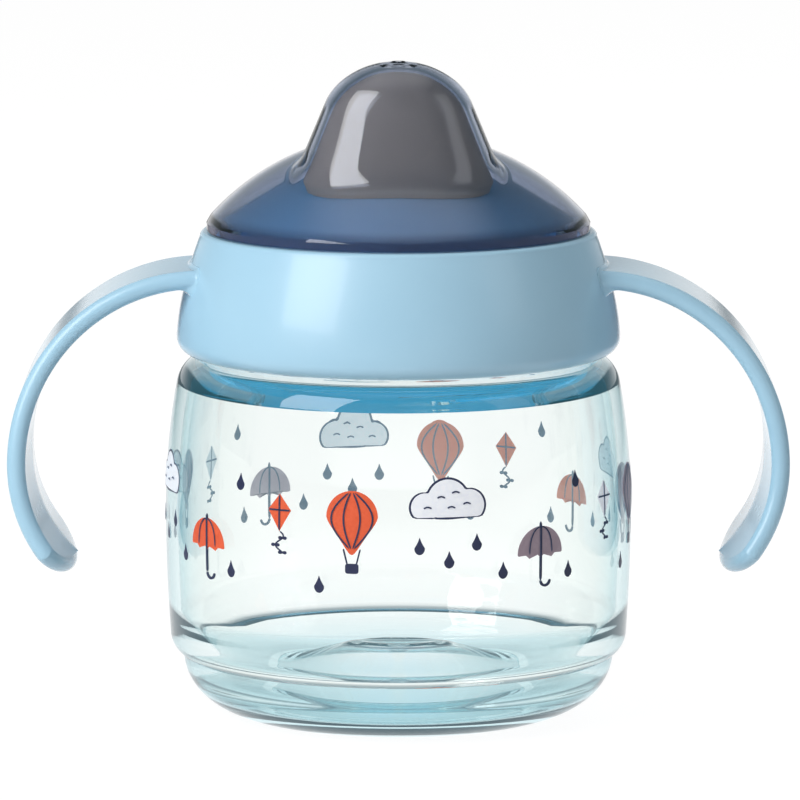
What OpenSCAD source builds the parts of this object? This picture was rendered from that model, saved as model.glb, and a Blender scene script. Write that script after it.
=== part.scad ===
// Sippy cup: a clear tumbler, a screw collar with two hook handles, a lid insert with a soft
// drinking spout, valves and a seal, and a see-through travel cap.
// Millimetres. The origin is the middle of the foot on the table, +Z is up, the handles lie
// along X, and the spout stands toward -Y, the front.

/* [Tumbler] */
// Widest outer radius of the wall
body_r = 38.5; // [35:0.1:44]
// Height of the widest point
bulge_z = 34; // [28:0.5:40]
// How much the wall has drawn in just above the step
low_draw = 0.7; // [0.2:0.1:1.5]
// How much the wall has drawn in where the shoulder starts
high_draw = 1.9; // [0.8:0.1:2.6]
// Height where the shoulder starts
shoulder_z = 55.3; // [48:0.1:66]
// Radius of the shoulder
shoulder_round = 5.5; // [4.5:0.1:6.5]
// How far below the shoulder its inside starts
inner_drop = 0.5; // [0.2:0.1:1]
// Tilt of the shoulder's inside where it starts (deg)
inner_tilt = 42; // [36:1:48]
// Tilt of the shoulder's inside at the neck (deg)
neck_tilt = 75; // [68:1:80]
// Height of the stacking step above the table
step_z = 10.1; // [7:0.1:14]
// Radius of the rounding above the stacking step
step_round = 4; // [3:0.1:5]
// How far the step sets the foot in from the wall
step_in = 2.2; // [1.5:0.1:3]
// Outer radius of the flat ring that stands on the table
foot_ring_r = 23; // [18:0.5:27]
// Width of the flat ring
foot_ring_w = 2; // [1.5:0.1:4]
// Squareness of the foot's inside: 1 is round, less is squarer
foot_square = 0.7; // [0.55:0.05:1]
// How far the base is drawn up in a bell shape
punt_h = 12; // [9:0.5:13]
// Radius of the dimple in the top of the bell
dimple_r = 9; // [7:0.5:11]
// Depth of the dimple
dimple_d = 5; // [3:0.1:6]
// Thickness of the bell
punt_t = 2; // [1.6:0.1:2.3]
// Radius of the moulding gate left in the dimple
gate_r = 1.6; // [1:0.1:2.5]
// Height of the moulding gate
gate_h = 0.6; // [0.3:0.1:0.9]
// Thickness of the wall
wall = 2; // [1.5:0.1:2.6]
// Thickness of the floor over the flat ring
floor_t = 2.3; // [2.3:0.1:3.5]
// Height of the neck above the shoulder
neck_h = 14; // [12.5:0.1:18]
// Thickness of the neck
neck_wall = 1.9; // [1.5:0.1:2.4]
// Chamfer on the two edges of the rim
rim_chamfer = 0.4; // [0.2:0.05:0.5]

/* [Screw thread] */
// Rise in one turn
pitch = 5; // [4.6:0.1:6]
// Number of turns
turns = 1.25; // [0.75:0.05:1.35]
// Height of a thread ridge off its wall
thread_h = 1.4; // [1:0.1:1.6]
// Width of a ridge at its root
thread_root = 2.4; // [2:0.1:2.5]
// Width of a ridge at its crest
thread_crest = 1.1; // [0.8:0.1:1.3]
// Gap between a crest and the wall that it faces
thread_gap = 0.6; // [0.4:0.05:0.8]
// Gap between the flanks of the two ridges, where the collar pulls
flank_gap = 0.5; // [0.4:0.05:0.7]
// Height of the first turn on the neck above the shoulder
thread_start = 4.1; // [3.9:0.1:5]

/* [Collar] */
// Thickness of the skirt round the thread
skirt_wall = 3.4; // [2.6:0.1:4.5]
// Gap between the shoulder and the collar's lower edge
skirt_gap = 0.3; // [0.2:0.05:1]
// Radius of the rounded lower edge
skirt_round = 2.6; // [1.5:0.1:3]
// Thickness of the lip that holds the lid down
lip_t = 2.7; // [2:0.1:4]
// Ledge left outside the cap on the collar's top
ledge_w = 1.1; // [0.7:0.1:2]
// Radius of the rounded top edge
top_round = 0.8; // [0.4:0.1:1]
// How late the skirt draws in on its way up (1 is a straight cone)
skirt_swell = 1.6; // [1.2:0.1:2.2]

/* [Handles] */
// How far a handle stands out from the collar's widest line
handle_out = 27.4; // [22:0.1:36]
// Radius of the middle line of a handle's upper arc
handle_r = 30; // [25:0.1:36]
// Radius of the middle line of the hook below it
hook_r = 24.4; // [20:0.1:30]
// Height of the top of the arc above the collar's lower edge
handle_rise = 13.1; // [11:0.1:14]
// Angle below level where the hook ends (deg)
hook_end = 47; // [35:1:54]
// Width of the handle's band at the top of its arc
handle_w = 22; // [16:0.1:26]
// Width of the band at the hook's end
paddle_w = 35; // [24:0.5:40]
// Length of the hook's rounded end
tip_h = 8; // [5:0.1:9]
// Thickness of the band
handle_t = 3; // [2.2:0.1:3.5]
// Radius of the fillet where a handle grows from the collar
handle_fillet = 3; // [1.5:0.1:4]

/* [Lid insert] */
// Thickness of the clamped flange
flange_t = 1.8; // [1.4:0.1:2.5]
// How far the flange reaches past the neck's outside
flange_over = 0.2; // [0:0.05:0.3]
// Depth of the plug inside the neck
plug_h = 4; // [2.5:0.1:6]
// Gap between the plug and the neck
plug_gap = 0.4; // [0.3:0.05:0.7]
// How far the riser under the cap is wider than the neck's bore
riser_over = 0.2; // [0.1:0.05:0.4]
// Thickness of the insert's wall
lid_wall = 1.6; // [1.3:0.1:2.2]
// How far the riser stands above the collar's top, where the cone starts
riser_up = 1.7; // [1.2:0.05:1.8]
// Height of the flat roof above the collar's top
roof_h = 9.4; // [8:0.1:10]
// Radius of the flat roof
roof_r = 16.5; // [14:0.1:19]
// Height of the oval boss inside the spout
boss_h = 4; // [2.5:0.1:6]
// Radius of the round ends of the drink's channel through the boss
channel_r = 3.4; // [2.8:0.1:3.8]
// Ledge left between the channel and the valve's socket
channel_ledge = 1; // [0.7:0.1:1.4]

/* [Travel cap] */
// Thickness of the cap's wall
cap_wall = 1.2; // [1:0.1:1.6]
// Gap between the cap's rim and the riser
cap_gap = 0.9; // [0.7:0.05:1.1]
// Gap between the cap's rim and the collar's top
cap_seat = 0.2; // [0.1:0.05:0.4]
// Height of the cap's upright rim
rim_h = 1.2; // [0.8:0.1:1.6]
// Width of the blunt edge between the rim and the dome
edge_w = 0.7; // [0.4:0.1:1]
// Height of that edge where the dome would meet the rim
edge_h = 0.4; // [0.2:0.1:0.8]
// Height of the dome's skin above the edge of the lid's flat roof
dome_gap = 3.35; // [3:0.05:4.5]
// Height of the cap from its rim to its top
cap_h = 28.9; // [26:0.1:34]
// Radius of the recess round the gate mark on the top
mark_r = 1.1; // [1:0.1:2]
// Depth of that recess
mark_d = 0.25; // [0.2:0.05:0.5]

/* [Spout] */
// How far the spout stands in front of the cup's middle
spout_fwd = 12; // [10.5:0.1:13]
// How far the spout's top leans further forward
spout_lean = 1; // [0:0.1:2]
// Half the width of the cap's hump at its base
hump_a = 16.9; // [15:0.1:18]
// Half the depth of the cap's hump at its base
hump_b = 10.5; // [9.5:0.1:11.5]
// How far the hump's foot flares into the dome
hump_flare = 1.2; // [0.4:0.1:1.6]
// Share of the width lost over the full height
hump_taper = 0.46; // [0.3:0.01:0.55]
// Share of the height where the top starts to round
hump_shoulder = 0.64; // [0.55:0.01:0.8]
// Roundness of the hump's top seen from the front (2 is an ellipse)
hump_round = 2.2; // [2:0.1:2.6]
// Squareness of the hump seen from above (2 is an ellipse)
hump_square = 2.1; // [2:0.1:2.6]
// Gap between the spout's sides and the cap
spout_gap = 0.45; // [0.35:0.05:0.7]
// Gap between the spout's tip and the cap
tip_gap = 0.5; // [0.4:0.05:1]
// How far the spout's foot tucks in down to the lid
foot_tuck = 1.2; // [0.8:0.1:2]
// Thickness of the soft spout's wall
spout_wall = 1.8; // [1.4:0.1:2.2]
// Radius of the three drinking holes
sip_r = 0.4; // [0.3:0.05:0.7]
// Distance between the drinking holes
sip_step = 3.2; // [2.6:0.1:3.8]

/* [Valves and seal] */
// Thickness of the seal ring
seal_t = 1.4; // [1:0.1:2.2]
// Inner radius of the socket under the spout
socket_r = 8.2; // [7.4:0.1:8.8]
// Depth of the socket
socket_h = 9; // [7.5:0.1:11]
// Thickness of the socket's wall
socket_wall = 1.4; // [1.2:0.1:1.8]
// Gap between the valve holder and its socket
holder_gap = 0.3; // [0.2:0.05:0.4]
// Thickness of the holder's lip round the membrane
holder_lip = 1; // [0.8:0.1:1.2]
// Thickness of the holder's wall below its ledge
holder_wall = 2.3; // [2:0.1:2.8]
// Thickness of the holder's flange
holder_flange = 1.4; // [1:0.1:2]
// Thickness of the membrane's rim
membrane_rim = 1.6; // [1.2:0.1:2]
// Width of the membrane's rim
membrane_band = 1.3; // [1:0.1:1.6]
// Thickness of the membrane's dish
membrane_t = 0.7; // [0.5:0.05:1]
// Depth of the membrane's dish
membrane_dish = 3; // [2:0.1:4]
// Width of the slits in the membrane
slit_w = 0.3; // [0.2:0.05:0.4]
// How far the air vent stands behind the cup's middle
vent_back = 8.5; // [7:0.1:9.5]
// Radius of the vent's umbrella
vent_r = 4.8; // [4:0.1:5.2]
// Thickness of the umbrella in its middle
vent_t = 1.4; // [1:0.1:1.8]
// Thickness of the umbrella near its edge
vent_edge = 0.9; // [0.6:0.1:1]
// Radius of the vent's stem
vent_stem = 1.4; // [1.1:0.05:1.6]
// How far the vent's knob is wider than its stem
knob_over = 1; // [0.6:0.1:1.4]
// Height of the knob above the roof
knob_h = 1.7; // [1.2:0.1:2.2]
// Radius of the air holes under the umbrella
air_r = 0.7; // [0.5:0.05:0.9]
// Gap between pieces that lie on each other
seat_gap = 0.1; // [0.05:0.01:0.2]
// Gap between the collar and the lid insert
lid_gap = 0.4; // [0.25:0.05:0.5]

/* [Hidden] */
$fn = 96;
// Overlap that lets a cut run clean through
cut = 1;

// Tumbler: the wall is two parabolas that meet at the bulge, and the shoulder is tangent to them
low_r = body_r - low_draw;
foot_r = low_r - step_in;
step_turn = acos(1 - step_in / step_round);
low_z = step_z + step_round * sin(step_turn);
lean_in = atan(2 * high_draw / (shoulder_z - bulge_z));
neck_r = body_r - high_draw - shoulder_round * cos(lean_in);
shoulder_mid_z = shoulder_z - shoulder_round * sin(lean_in);
neck_z = shoulder_mid_z + shoulder_round;
rim_z = neck_z + neck_h;
bore_r = neck_r - neck_wall;

// Thread: the collar's ridge runs under the neck's, and both fade in and out at their ends
thread_z = neck_z + thread_start;
thread_drop = (thread_root + thread_crest) / 2 + flank_gap;
thread_sunk = 0.3;
thread_steps = 32;
fade_steps = 3;
fade_least = 0.12;

// Stack of pieces above the rim
flange_z = rim_z + seat_gap + seal_t;
seat_z = flange_z + flange_t + lid_gap;
collar_z = neck_z + skirt_gap;
top_z = seat_z + lip_t;
cap_z = top_z + cap_seat;
roof_z = top_z + roof_h;

// Radii outward from the neck
skirt_bore = neck_r + thread_h + thread_gap;
skirt_r = skirt_bore + skirt_wall;
flange_r = neck_r + flange_over;
riser_r = bore_r + riser_over;
opening_r = riser_r + lid_gap;
cap_bore = riser_r + cap_gap;
cap_r = cap_bore + cap_wall;
collar_top_r = cap_r + ledge_w;
top_lean = atan(skirt_swell * (skirt_r - collar_top_r) / (top_z - top_round - collar_z - skirt_round));

// Handles
handle_x = skirt_r + handle_out - handle_r - handle_t / 2;
handle_z = collar_z + handle_rise - handle_r;
handle_start = 94;
hook_x = handle_x + handle_r - hook_r;
// How far the fillet under a handle stays inside the handle's sides
root_inset = 0.5;

// Lid insert: a cone from the riser up to the flat roof
cone_z = top_z + riser_up;
cone_slope = (roof_z - cone_z) / (riser_r - roof_r);
cone_stretch = sqrt(1 + cone_slope * cone_slope);
cone_drop = lid_wall * cone_stretch;
chamber_z = cone_height(spout_fwd + socket_r) - cone_drop - seat_gap;
socket_z = chamber_z - socket_h;
channel_x = socket_r - channel_r - channel_ledge;
boss_r = channel_r + lid_wall;

// Cap and spout: the dome is a sphere through the rim's edge and over the edge of the lid's roof
edge_z = cap_z + rim_h + edge_h;
over_z = roof_z + dome_gap;
dome_z = (pow(cap_r, 2) + pow(edge_z, 2) - pow(roof_r, 2) - pow(over_z, 2)) / (2 * (edge_z - over_z));
dome_r = sqrt(pow(cap_r, 2) + pow(edge_z - dome_z, 2));
hump_z = cap_z + cap_h;
tip_z = hump_z - cap_wall - tip_gap;
spout_off = cap_wall + spout_gap;
cavity_off = spout_off + spout_wall;
flare_share = 0.2;
ring_points = 64;
ring_steps = 15;
// Rings stop at this share of the height, where a flat fan closes them
last_share = 0.9995;
// Share of the height where the spout's wide hollow starts, above the boss
hollow_share = 0.36;

// Valve holder and membrane
holder_r = socket_r - holder_gap;
holder_z = socket_z - 2 * seat_gap - holder_flange;
ledge_z = chamber_z - lid_gap - membrane_rim;
membrane_r = holder_r - holder_lip;
dish_r = membrane_r - membrane_band;

function lerp(a, b, t) = a + (b - a) * t;
function clamp01(t) = max(0, min(1, t));
function arc(x, y, r, from, to, n) =
    [for (i = [0 : n]) let (a = lerp(from, to, i / n)) [x + r * cos(a), y + r * sin(a)]];
function signed_power(x, p) = sign(x) * pow(abs(x), p);

// Outer radius of the tumbler's wall at height z, between the step and the shoulder
function wall_r(z) = z < bulge_z
    ? body_r - low_draw * pow((bulge_z - z) / (bulge_z - low_z), 2)
    : body_r - high_draw * pow((z - bulge_z) / (shoulder_z - bulge_z), 2);

// Height of the lid's cone at radius r
function cone_height(r) = r < roof_r ? roof_z : roof_z - cone_slope * (r - roof_r);

// Points of the tumbler's wall from the step to just below the height top, moved inward by t
function wall_line(t, top) = concat(
    arc(low_r - step_round, low_z, step_round - t, -step_turn, 0, 8),
    [for (i = [1 : 11]) let (z = lerp(low_z, top, i / 12)) [wall_r(z) - t, z]]);

// Points of the round foot from the flat ring to the step, moved inward by t, floor at z
function foot_line(t, z, square) = [for (i = [0 : 12]) let (a = 90 * i / 12)
    [lerp(foot_ring_r, foot_r - t, pow(sin(a), square)), lerp(step_z, z, pow(cos(a), square))]];

// A bell with radius and height 1
function bell(x) = (1 + cos(180 * min(x, 1))) / 2;

// Height of the base's upper side at radius r
function base_height(r) = floor_t + punt_h * bell(r / foot_ring_r) - dimple_d * bell(r / dimple_r);

// Points of the base from radius r to the middle, moved down by t
function base_line(r, t) = [for (i = [0 : 16]) let (x = lerp(r, 0, i / 16)) [x, base_height(x) - t]];

function but_last(p) = [for (i = [0 : len(p) - 2]) p[i]];
function reversed(p) = [for (i = [len(p) - 1 : -1 : 0]) p[i]];

// One closed skin over rings of equal length, with a point at each end or an open tube's join
function ring_faces(rings, n) = [for (k = [0 : rings - 2]) for (i = [0 : n - 1])
    let (a = k * n + i, b = k * n + (i + 1) % n)
    each [[a, b + n, b], [a, a + n, b + n]]];

// A thread ridge wound round Z: it fades in and out over the first and last steps
module ridge(root_r, crest_r, z) {
    count = ceil(thread_steps * turns);
    side = crest_r > root_r ? 1 : -1;
    rings = [for (i = [0 : count])
        let (a = 360 * turns * i / count,
            fade = max(fade_least, min(1, i / fade_steps, (count - i) / fade_steps)),
            r0 = root_r - side * thread_sunk,
            r1 = lerp(root_r, crest_r, fade),
            c = z + pitch * a / 360,
            h0 = thread_root / 2,
            h1 = thread_crest / 2)
        each [for (p = [[r0, -h0], [r0, h0], [r1, h1], [r1, -h1]])
            [p[0] * cos(a), p[0] * sin(a), c + p[1]]]];
    last = 4 * count;
    walls = ring_faces(count + 1, 4);
    ends = [[0, 1, 2], [0, 2, 3], [last + 2, last + 1, last], [last + 3, last + 2, last]];
    skin = concat(walls, ends);
    polyhedron(rings, side > 0 ? skin : [for (f = skin) [f[2], f[1], f[0]]], convexity = 6);
}

module tumbler() color("azure", 0.4) {
    outside = concat(foot_line(0, 0, 1), wall_line(0, shoulder_z),
        arc(neck_r, shoulder_mid_z, shoulder_round, lean_in, 90, 10),
        [[neck_r, rim_z - rim_chamfer], [neck_r - rim_chamfer, rim_z]]);
    inner_z = shoulder_z - inner_drop;
    inner_r = wall_r(inner_z) - wall;
    inner_round = (inner_r - bore_r) / (cos(inner_tilt) - cos(neck_tilt));
    inside = concat([[bore_r + rim_chamfer, rim_z], [bore_r, rim_z - rim_chamfer]],
        arc(inner_r - inner_round * cos(inner_tilt), inner_z - inner_round * sin(inner_tilt),
            inner_round, neck_tilt, inner_tilt, 8),
        reversed(wall_line(wall, inner_z)), but_last(reversed(foot_line(wall, floor_t, foot_square))),
        base_line(foot_ring_r, 0));
    ring_in = foot_ring_r - foot_ring_w;
    underside = concat(reversed(base_line(ring_in, punt_t)), [[ring_in, 0]]);
    rotate_extrude() polygon(concat(outside, inside, underside));
    translate([0, 0, base_height(0) - punt_t - gate_h]) cylinder(r = gate_r, h = 2 * gate_h);
    ridge(neck_r, neck_r + thread_h, thread_z);
}

// Outer radius of the collar at height z
function collar_outer(z) = let (z0 = collar_z + skirt_round, z1 = top_z - top_round)
    lerp(skirt_r, collar_top_r, pow(clamp01((z - z0) / (z1 - z0)), skirt_swell));

// The right handle seen from the front: the upper arc, the hook and its round end
module handle_front() {
    t = handle_t / 2;
    tip_x = hook_x + hook_r * cos(hook_end);
    tip_z = handle_z - hook_r * sin(hook_end);
    polygon(concat(
        but_last(arc(handle_x, handle_z, handle_r + t, handle_start, 0, 24)),
        but_last(arc(hook_x, handle_z, hook_r + t, 0, -hook_end, 12)),
        but_last(arc(tip_x, tip_z, t, -hook_end, -hook_end - 180, 8)),
        but_last(arc(hook_x, handle_z, hook_r - t, -hook_end, 0, 12)),
        arc(handle_x, handle_z, handle_r - t, 0, handle_start, 24)));
}

// The handle seen from the side: it widens evenly from the top of its arc to the hook's end
module handle_side() {
    high = handle_z + handle_r + handle_t;
    low = handle_z - hook_r * sin(hook_end) - handle_t;
    polygon([[-handle_w / 2, high], [-paddle_w / 2, low], [paddle_w / 2, low], [handle_w / 2, high]]);
}

// What is cut away round the hook's end: all outside half an oval
module tip_cut() {
    y = paddle_w / 2;
    oval = [for (a = [0 : 10 : 180]) [-y * cos(a), tip_h * (1 - sin(a))]];
    polygon(concat(oval, [[y + cut, tip_h], [y + cut, -cut], [-y - cut, -cut], [-y - cut, tip_h]]));
}

module handle() {
    difference() {
        intersection() {
            rotate([90, 0, 0]) linear_extrude(paddle_w, center = true) handle_front();
            rotate([90, 0, 90]) linear_extrude(hook_x + hook_r + handle_t) handle_side();
        }
        translate([hook_x, 0, handle_z]) rotate([0, hook_end, 0]) translate([hook_r, 0, -handle_t / 2])
            rotate([90, 0, 90]) linear_extrude(4 * handle_t, center = true) tip_cut();
    }
}

// Fillet between the collar's skirt and the underside of a handle, swept round the cup
module handle_root() {
    under_r = handle_r - handle_t / 2;
    mid_x = collar_outer(handle_z + under_r - handle_fillet) + handle_fillet;
    mid_z = handle_z + sqrt(pow(under_r - handle_fillet, 2) - pow(mid_x - handle_x, 2));
    touch = atan2(mid_z - handle_z, mid_x - handle_x);
    touch_x = handle_x + under_r * cos(touch);
    touch_z = handle_z + under_r * sin(touch);
    half = asin((handle_w / 2 - root_inset) / touch_x);
    rotate([0, 0, -half]) rotate_extrude(angle = 2 * half)
        difference() {
            polygon([[skirt_bore, mid_z], [mid_x, mid_z], [touch_x, touch_z],
                [touch_x - handle_t / 2, touch_z + handle_t / 2], [skirt_bore, handle_z + handle_r]]);
            translate([mid_x, mid_z]) circle(handle_fillet);
        }
}

module handled_collar() color("lightblue") {
    skirt = [for (i = [0 : 12]) let (z = lerp(collar_z + skirt_round, top_z - top_round, i / 12))
        [collar_outer(z), z]];
    shell = concat([[0, collar_z]],
        but_last(arc(skirt_r - skirt_round, collar_z + skirt_round, skirt_round, 270, 360, 8)), skirt,
        arc(collar_top_r - top_round, top_z - top_round, top_round, top_lean, 90, 4), [[0, top_z]]);
    taper_z = thread_z + pitch * turns + thread_crest / 2;
    hollow = [[0, collar_z - cut], [skirt_bore, collar_z - cut], [skirt_bore, taper_z],
        [flange_r + lid_gap, seat_z], [opening_r, seat_z], [opening_r, top_z + cut], [0, top_z + cut]];
    difference() {
        union() {
            rotate_extrude() polygon(shell);
            for (turn = [0, 180]) rotate([0, 0, turn]) {
                handle();
                handle_root();
            }
        }
        rotate_extrude() polygon(hollow);
    }
    ridge(skirt_bore, neck_r + thread_gap, thread_z - thread_drop);
}

// Flat shape with round ends: two circles x either side of the middle, joined
module slot(r, x) {
    translate([-x, 0]) circle(r);
    translate([x, 0]) circle(r);
    square([2 * x, 2 * r], center = true);
}

module spout_lid() color("lightskyblue") {
    plug_r = bore_r - plug_gap;
    plug_in = plug_r - lid_wall;
    shell = [[plug_in, flange_z - plug_h], [plug_r, flange_z - plug_h], [plug_r, flange_z],
        [flange_r, flange_z], [flange_r, flange_z + flange_t], [riser_r, flange_z + flange_t],
        [riser_r, cone_z], [roof_r, roof_z], [0, roof_z]];
    inside = [[0, roof_z - lid_wall], [roof_r - lid_wall / 2, roof_z - lid_wall],
        [plug_in, cone_height(plug_in) - cone_drop]];
    difference() {
        union() {
            rotate_extrude() polygon(concat(shell, inside));
            intersection() {
                translate([0, -spout_fwd, socket_z])
                    cylinder(r = socket_r + socket_wall, h = roof_z - socket_z);
                rotate_extrude() polygon(concat(shell, [[0, flange_z - plug_h]]));
            }
            translate([0, -spout_fwd, chamber_z])
                linear_extrude(roof_z + boss_h - chamber_z) slot(boss_r, channel_x);
        }
        translate([0, -spout_fwd, socket_z - cut]) cylinder(r = socket_r, h = socket_h + cut);
        translate([0, -spout_fwd, chamber_z - cut]) linear_extrude(roof_z + boss_h - chamber_z + 2 * cut)
            slot(channel_r, channel_x);
        translate([0, vent_back, roof_z - lid_wall - cut]) {
            cylinder(r = vent_stem + seat_gap, h = lid_wall + 2 * cut);
            for (side = [-1, 1])
                translate([side * (vent_stem + vent_r) / 2, 0, 0])
                    cylinder(r = air_r, h = lid_wall + 2 * cut);
        }
    }
}

// Outline point of the hump: w is the share of its height, a the angle seen from above, and
// off how far the skin lies inside the cap's outer skin
function hump_scale(w) = (1 - hump_taper * w)
    * pow(1 - pow(clamp01((w - hump_shoulder) / (1 - hump_shoulder)), hump_round), 1 / hump_round);
function hump_foot(w) = hump_flare * pow(max(0, 1 - w / flare_share), 2);
function hump_plan(w, a, off, flared) =
    let (k = hump_scale(w), f = flared ? hump_foot(w) : 0, p = 2 / hump_square)
    [((hump_a - off) * k + f) * signed_power(cos(a), p),
        -spout_fwd - spout_lean * w + ((hump_b - off) * k + f) * signed_power(sin(a), p)];
function dome_height(p, off) = dome_z + sqrt(pow(dome_r - off, 2) - p[0] * p[0] - p[1] * p[1]);
function hump_point(w, a, off, flared, top) =
    let (p = hump_plan(w, a, off, flared),
        base = dome_height(hump_plan(0, a, off, flared), off))
    [p[0], p[1], lerp(base, top, w)];

// Shares of the height at which the hump's rings lie, closer together near the top
hump_steps = [for (i = [1 : ring_steps]) sin(90 * i / ring_steps)];

// Rings of one skin of the cap, from its rim to its top
function cap_rings(off) = concat(
    [for (a = ring_angles) [(cap_r - off) * cos(a), (cap_r - off) * sin(a), cap_z]],
    [for (a = ring_angles) [(cap_r - off) * cos(a), (cap_r - off) * sin(a), cap_z + rim_h]],
    [for (i = [0 : 9]) for (a = ring_angles)
        let (r = cap_r - off - edge_w,
            p = lerp([r * cos(a), r * sin(a)], hump_plan(0, a, off, true), i / 9))
        [p[0], p[1], dome_height(p, off)]],
    [for (w = hump_steps) for (a = ring_angles) hump_point(min(w, last_share), a, off, true, hump_z - off)]);
ring_angles = [for (i = [0 : ring_points - 1]) 360 * i / ring_points];

// Closed solid between an outer and an inner stack of rings that share their number of points
module shell_between(outer, inner) {
    n = ring_points;
    rings = len(outer) / n;
    base = len(outer);
    top = base - n;
    skin_out = ring_faces(rings, n);
    skin_in = [for (f = ring_faces(rings, n)) [f[2] + base, f[1] + base, f[0] + base]];
    close_out = [for (i = [1 : n - 2]) [top, top + i + 1, top + i]];
    close_in = [for (i = [1 : n - 2]) [base + top, base + top + i, base + top + i + 1]];
    edge = [for (i = [0 : n - 1]) let (j = (i + 1) % n)
        each [[i, j, base + j], [i, base + j, base + i]]];
    polyhedron(concat(outer, inner), concat(skin_out, skin_in, close_out, close_in, edge), convexity = 8);
}

module travel_cap() color("slategray", 0.6) {
    top = [0, -spout_fwd - spout_lean, hump_z];
    difference() {
        shell_between(cap_rings(0), cap_rings(cap_wall));
        translate(top - [0, 0, mark_d]) cylinder(r = mark_r, h = cut);
    }
    translate(top - [0, 0, 2 * mark_d]) cylinder(r = mark_r / 2, h = 2 * mark_d);
}

// Point of the boss's outline at angle a, moved outward by gap
function boss_plan(a, gap) =
    [channel_x * sign(cos(a)) + (boss_r + gap) * cos(a), (boss_r + gap) * sin(a) - spout_fwd];

// Rings of the soft spout's outer skin and of its hollow, from inside the lid to the tip
spout_skin = concat(
    [for (a = ring_angles) let (p = hump_plan(0, a, spout_off + foot_tuck, false)) [p[0], p[1], chamber_z]],
    [for (w = concat([0], hump_steps)) for (a = ring_angles)
        hump_point(min(w, last_share), a, spout_off, false, tip_z)]);
spout_hollow = concat(
    [for (z = [chamber_z, roof_z + boss_h + seat_gap]) for (a = ring_angles)
        let (p = boss_plan(a, seat_gap)) [p[0], p[1], z]],
    [for (i = [1 : ring_steps]) for (a = ring_angles)
        let (w = lerp(hollow_share, last_share, (i - 1) / (ring_steps - 1)))
        hump_point(w, a, cavity_off, false, tip_z - spout_wall)]);

module soft_spout() color("darkgray") {
    lid_skin = [[0, chamber_z - cut], [cap_r, chamber_z - cut],
        [cap_r, cone_height(cap_r) + seat_gap * cone_stretch],
        [roof_r, roof_z + seat_gap], [0, roof_z + seat_gap]];
    difference() {
        shell_between(spout_skin, spout_hollow);
        rotate_extrude() polygon(lid_skin);
        for (i = [-1 : 1])
            translate([i * sip_step, -spout_fwd - spout_lean, tip_z - 3 * spout_wall])
                cylinder(r = sip_r, h = 4 * spout_wall);
    }
}

module seal_ring() color("whitesmoke") {
    inset = 2 * seat_gap;
    translate([0, 0, rim_z + seat_gap])
        difference() {
            cylinder(r = neck_r - inset, h = seal_t);
            translate([0, 0, -cut]) cylinder(r = bore_r + inset, h = seal_t + 2 * cut);
        }
}

module valve_holder() color("white") {
    bore = holder_r - holder_wall;
    pocket = membrane_r + seat_gap;
    profile = [[bore, holder_z], [socket_r + socket_wall, holder_z],
        [socket_r + socket_wall, holder_z + holder_flange], [holder_r, holder_z + holder_flange],
        [holder_r, ledge_z + membrane_rim / 2], [pocket, ledge_z + membrane_rim / 2],
        [pocket, ledge_z], [bore, ledge_z]];
    translate([0, -spout_fwd, 0]) rotate_extrude() polygon(profile);
}

module valve_membrane() color("gainsboro") {
    rim_low = ledge_z + seat_gap;
    rim_top = rim_low + membrane_rim;
    dish = [for (i = [0 : 8]) let (r = dish_r * (1 - i / 8))
        [r, rim_top - membrane_dish * (1 - pow(r / dish_r, 2))]];
    dish_low = [for (i = [8 : -1 : 0]) dish[i] - [0, membrane_t]];
    difference() {
        translate([0, -spout_fwd, 0])
            rotate_extrude() polygon(concat([[membrane_r, rim_low], [membrane_r, rim_top]], dish, dish_low,
                [[dish_r, rim_low]]));
        for (turn = [0, 90])
            translate([0, -spout_fwd, rim_top - membrane_dish]) rotate([0, 0, turn])
                cube([dish_r, slit_w, 2 * membrane_dish], center = true);
    }
}

module vent_valve() color("gainsboro") {
    under = roof_z - lid_wall - seat_gap;
    translate([0, vent_back, 0])
        rotate_extrude() polygon([[0, under - vent_t], [vent_r - vent_edge, under - vent_edge],
            [vent_r, under], [vent_stem, under], [vent_stem, roof_z + seat_gap],
            [vent_stem + knob_over, roof_z + seat_gap], [vent_stem, roof_z + knob_h],
            [0, roof_z + knob_h]]);
}

tumbler();
handled_collar();
spout_lid();
soft_spout();
seal_ring();
valve_holder();
valve_membrane();
vent_valve();
travel_cap();
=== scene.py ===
# %% [markdown]
# # A training cup, piece by piece
# This lesson dresses a child's cup: a clear tumbler with a print, a blue collar with two hook
# handles, a lid with a soft spout, and a smoky see-through cap. The construction comes from the
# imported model, which stays fixed. It could be shown as it is, but its faces are coarse for clear
# plastic, so the pieces that show are modelled again at the places where the model has them.

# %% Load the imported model
from math import acos, atan, cos, degrees, pi, radians, sin, sqrt, tau

import bmesh
import bpy
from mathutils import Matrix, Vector


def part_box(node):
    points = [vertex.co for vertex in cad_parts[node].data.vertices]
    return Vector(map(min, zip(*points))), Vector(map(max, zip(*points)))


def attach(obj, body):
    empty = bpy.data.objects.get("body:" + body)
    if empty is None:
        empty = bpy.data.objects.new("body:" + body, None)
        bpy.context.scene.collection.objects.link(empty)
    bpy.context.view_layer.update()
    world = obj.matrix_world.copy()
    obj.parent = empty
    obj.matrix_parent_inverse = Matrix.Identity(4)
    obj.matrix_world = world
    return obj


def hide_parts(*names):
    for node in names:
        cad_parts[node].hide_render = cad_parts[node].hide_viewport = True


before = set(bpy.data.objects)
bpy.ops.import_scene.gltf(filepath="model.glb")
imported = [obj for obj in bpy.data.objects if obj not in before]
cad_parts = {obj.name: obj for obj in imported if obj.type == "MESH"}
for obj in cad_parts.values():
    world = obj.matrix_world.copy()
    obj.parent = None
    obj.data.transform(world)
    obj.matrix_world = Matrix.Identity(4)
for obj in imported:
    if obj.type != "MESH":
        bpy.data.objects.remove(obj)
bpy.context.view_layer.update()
print("nodes:", sorted(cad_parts))

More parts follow.
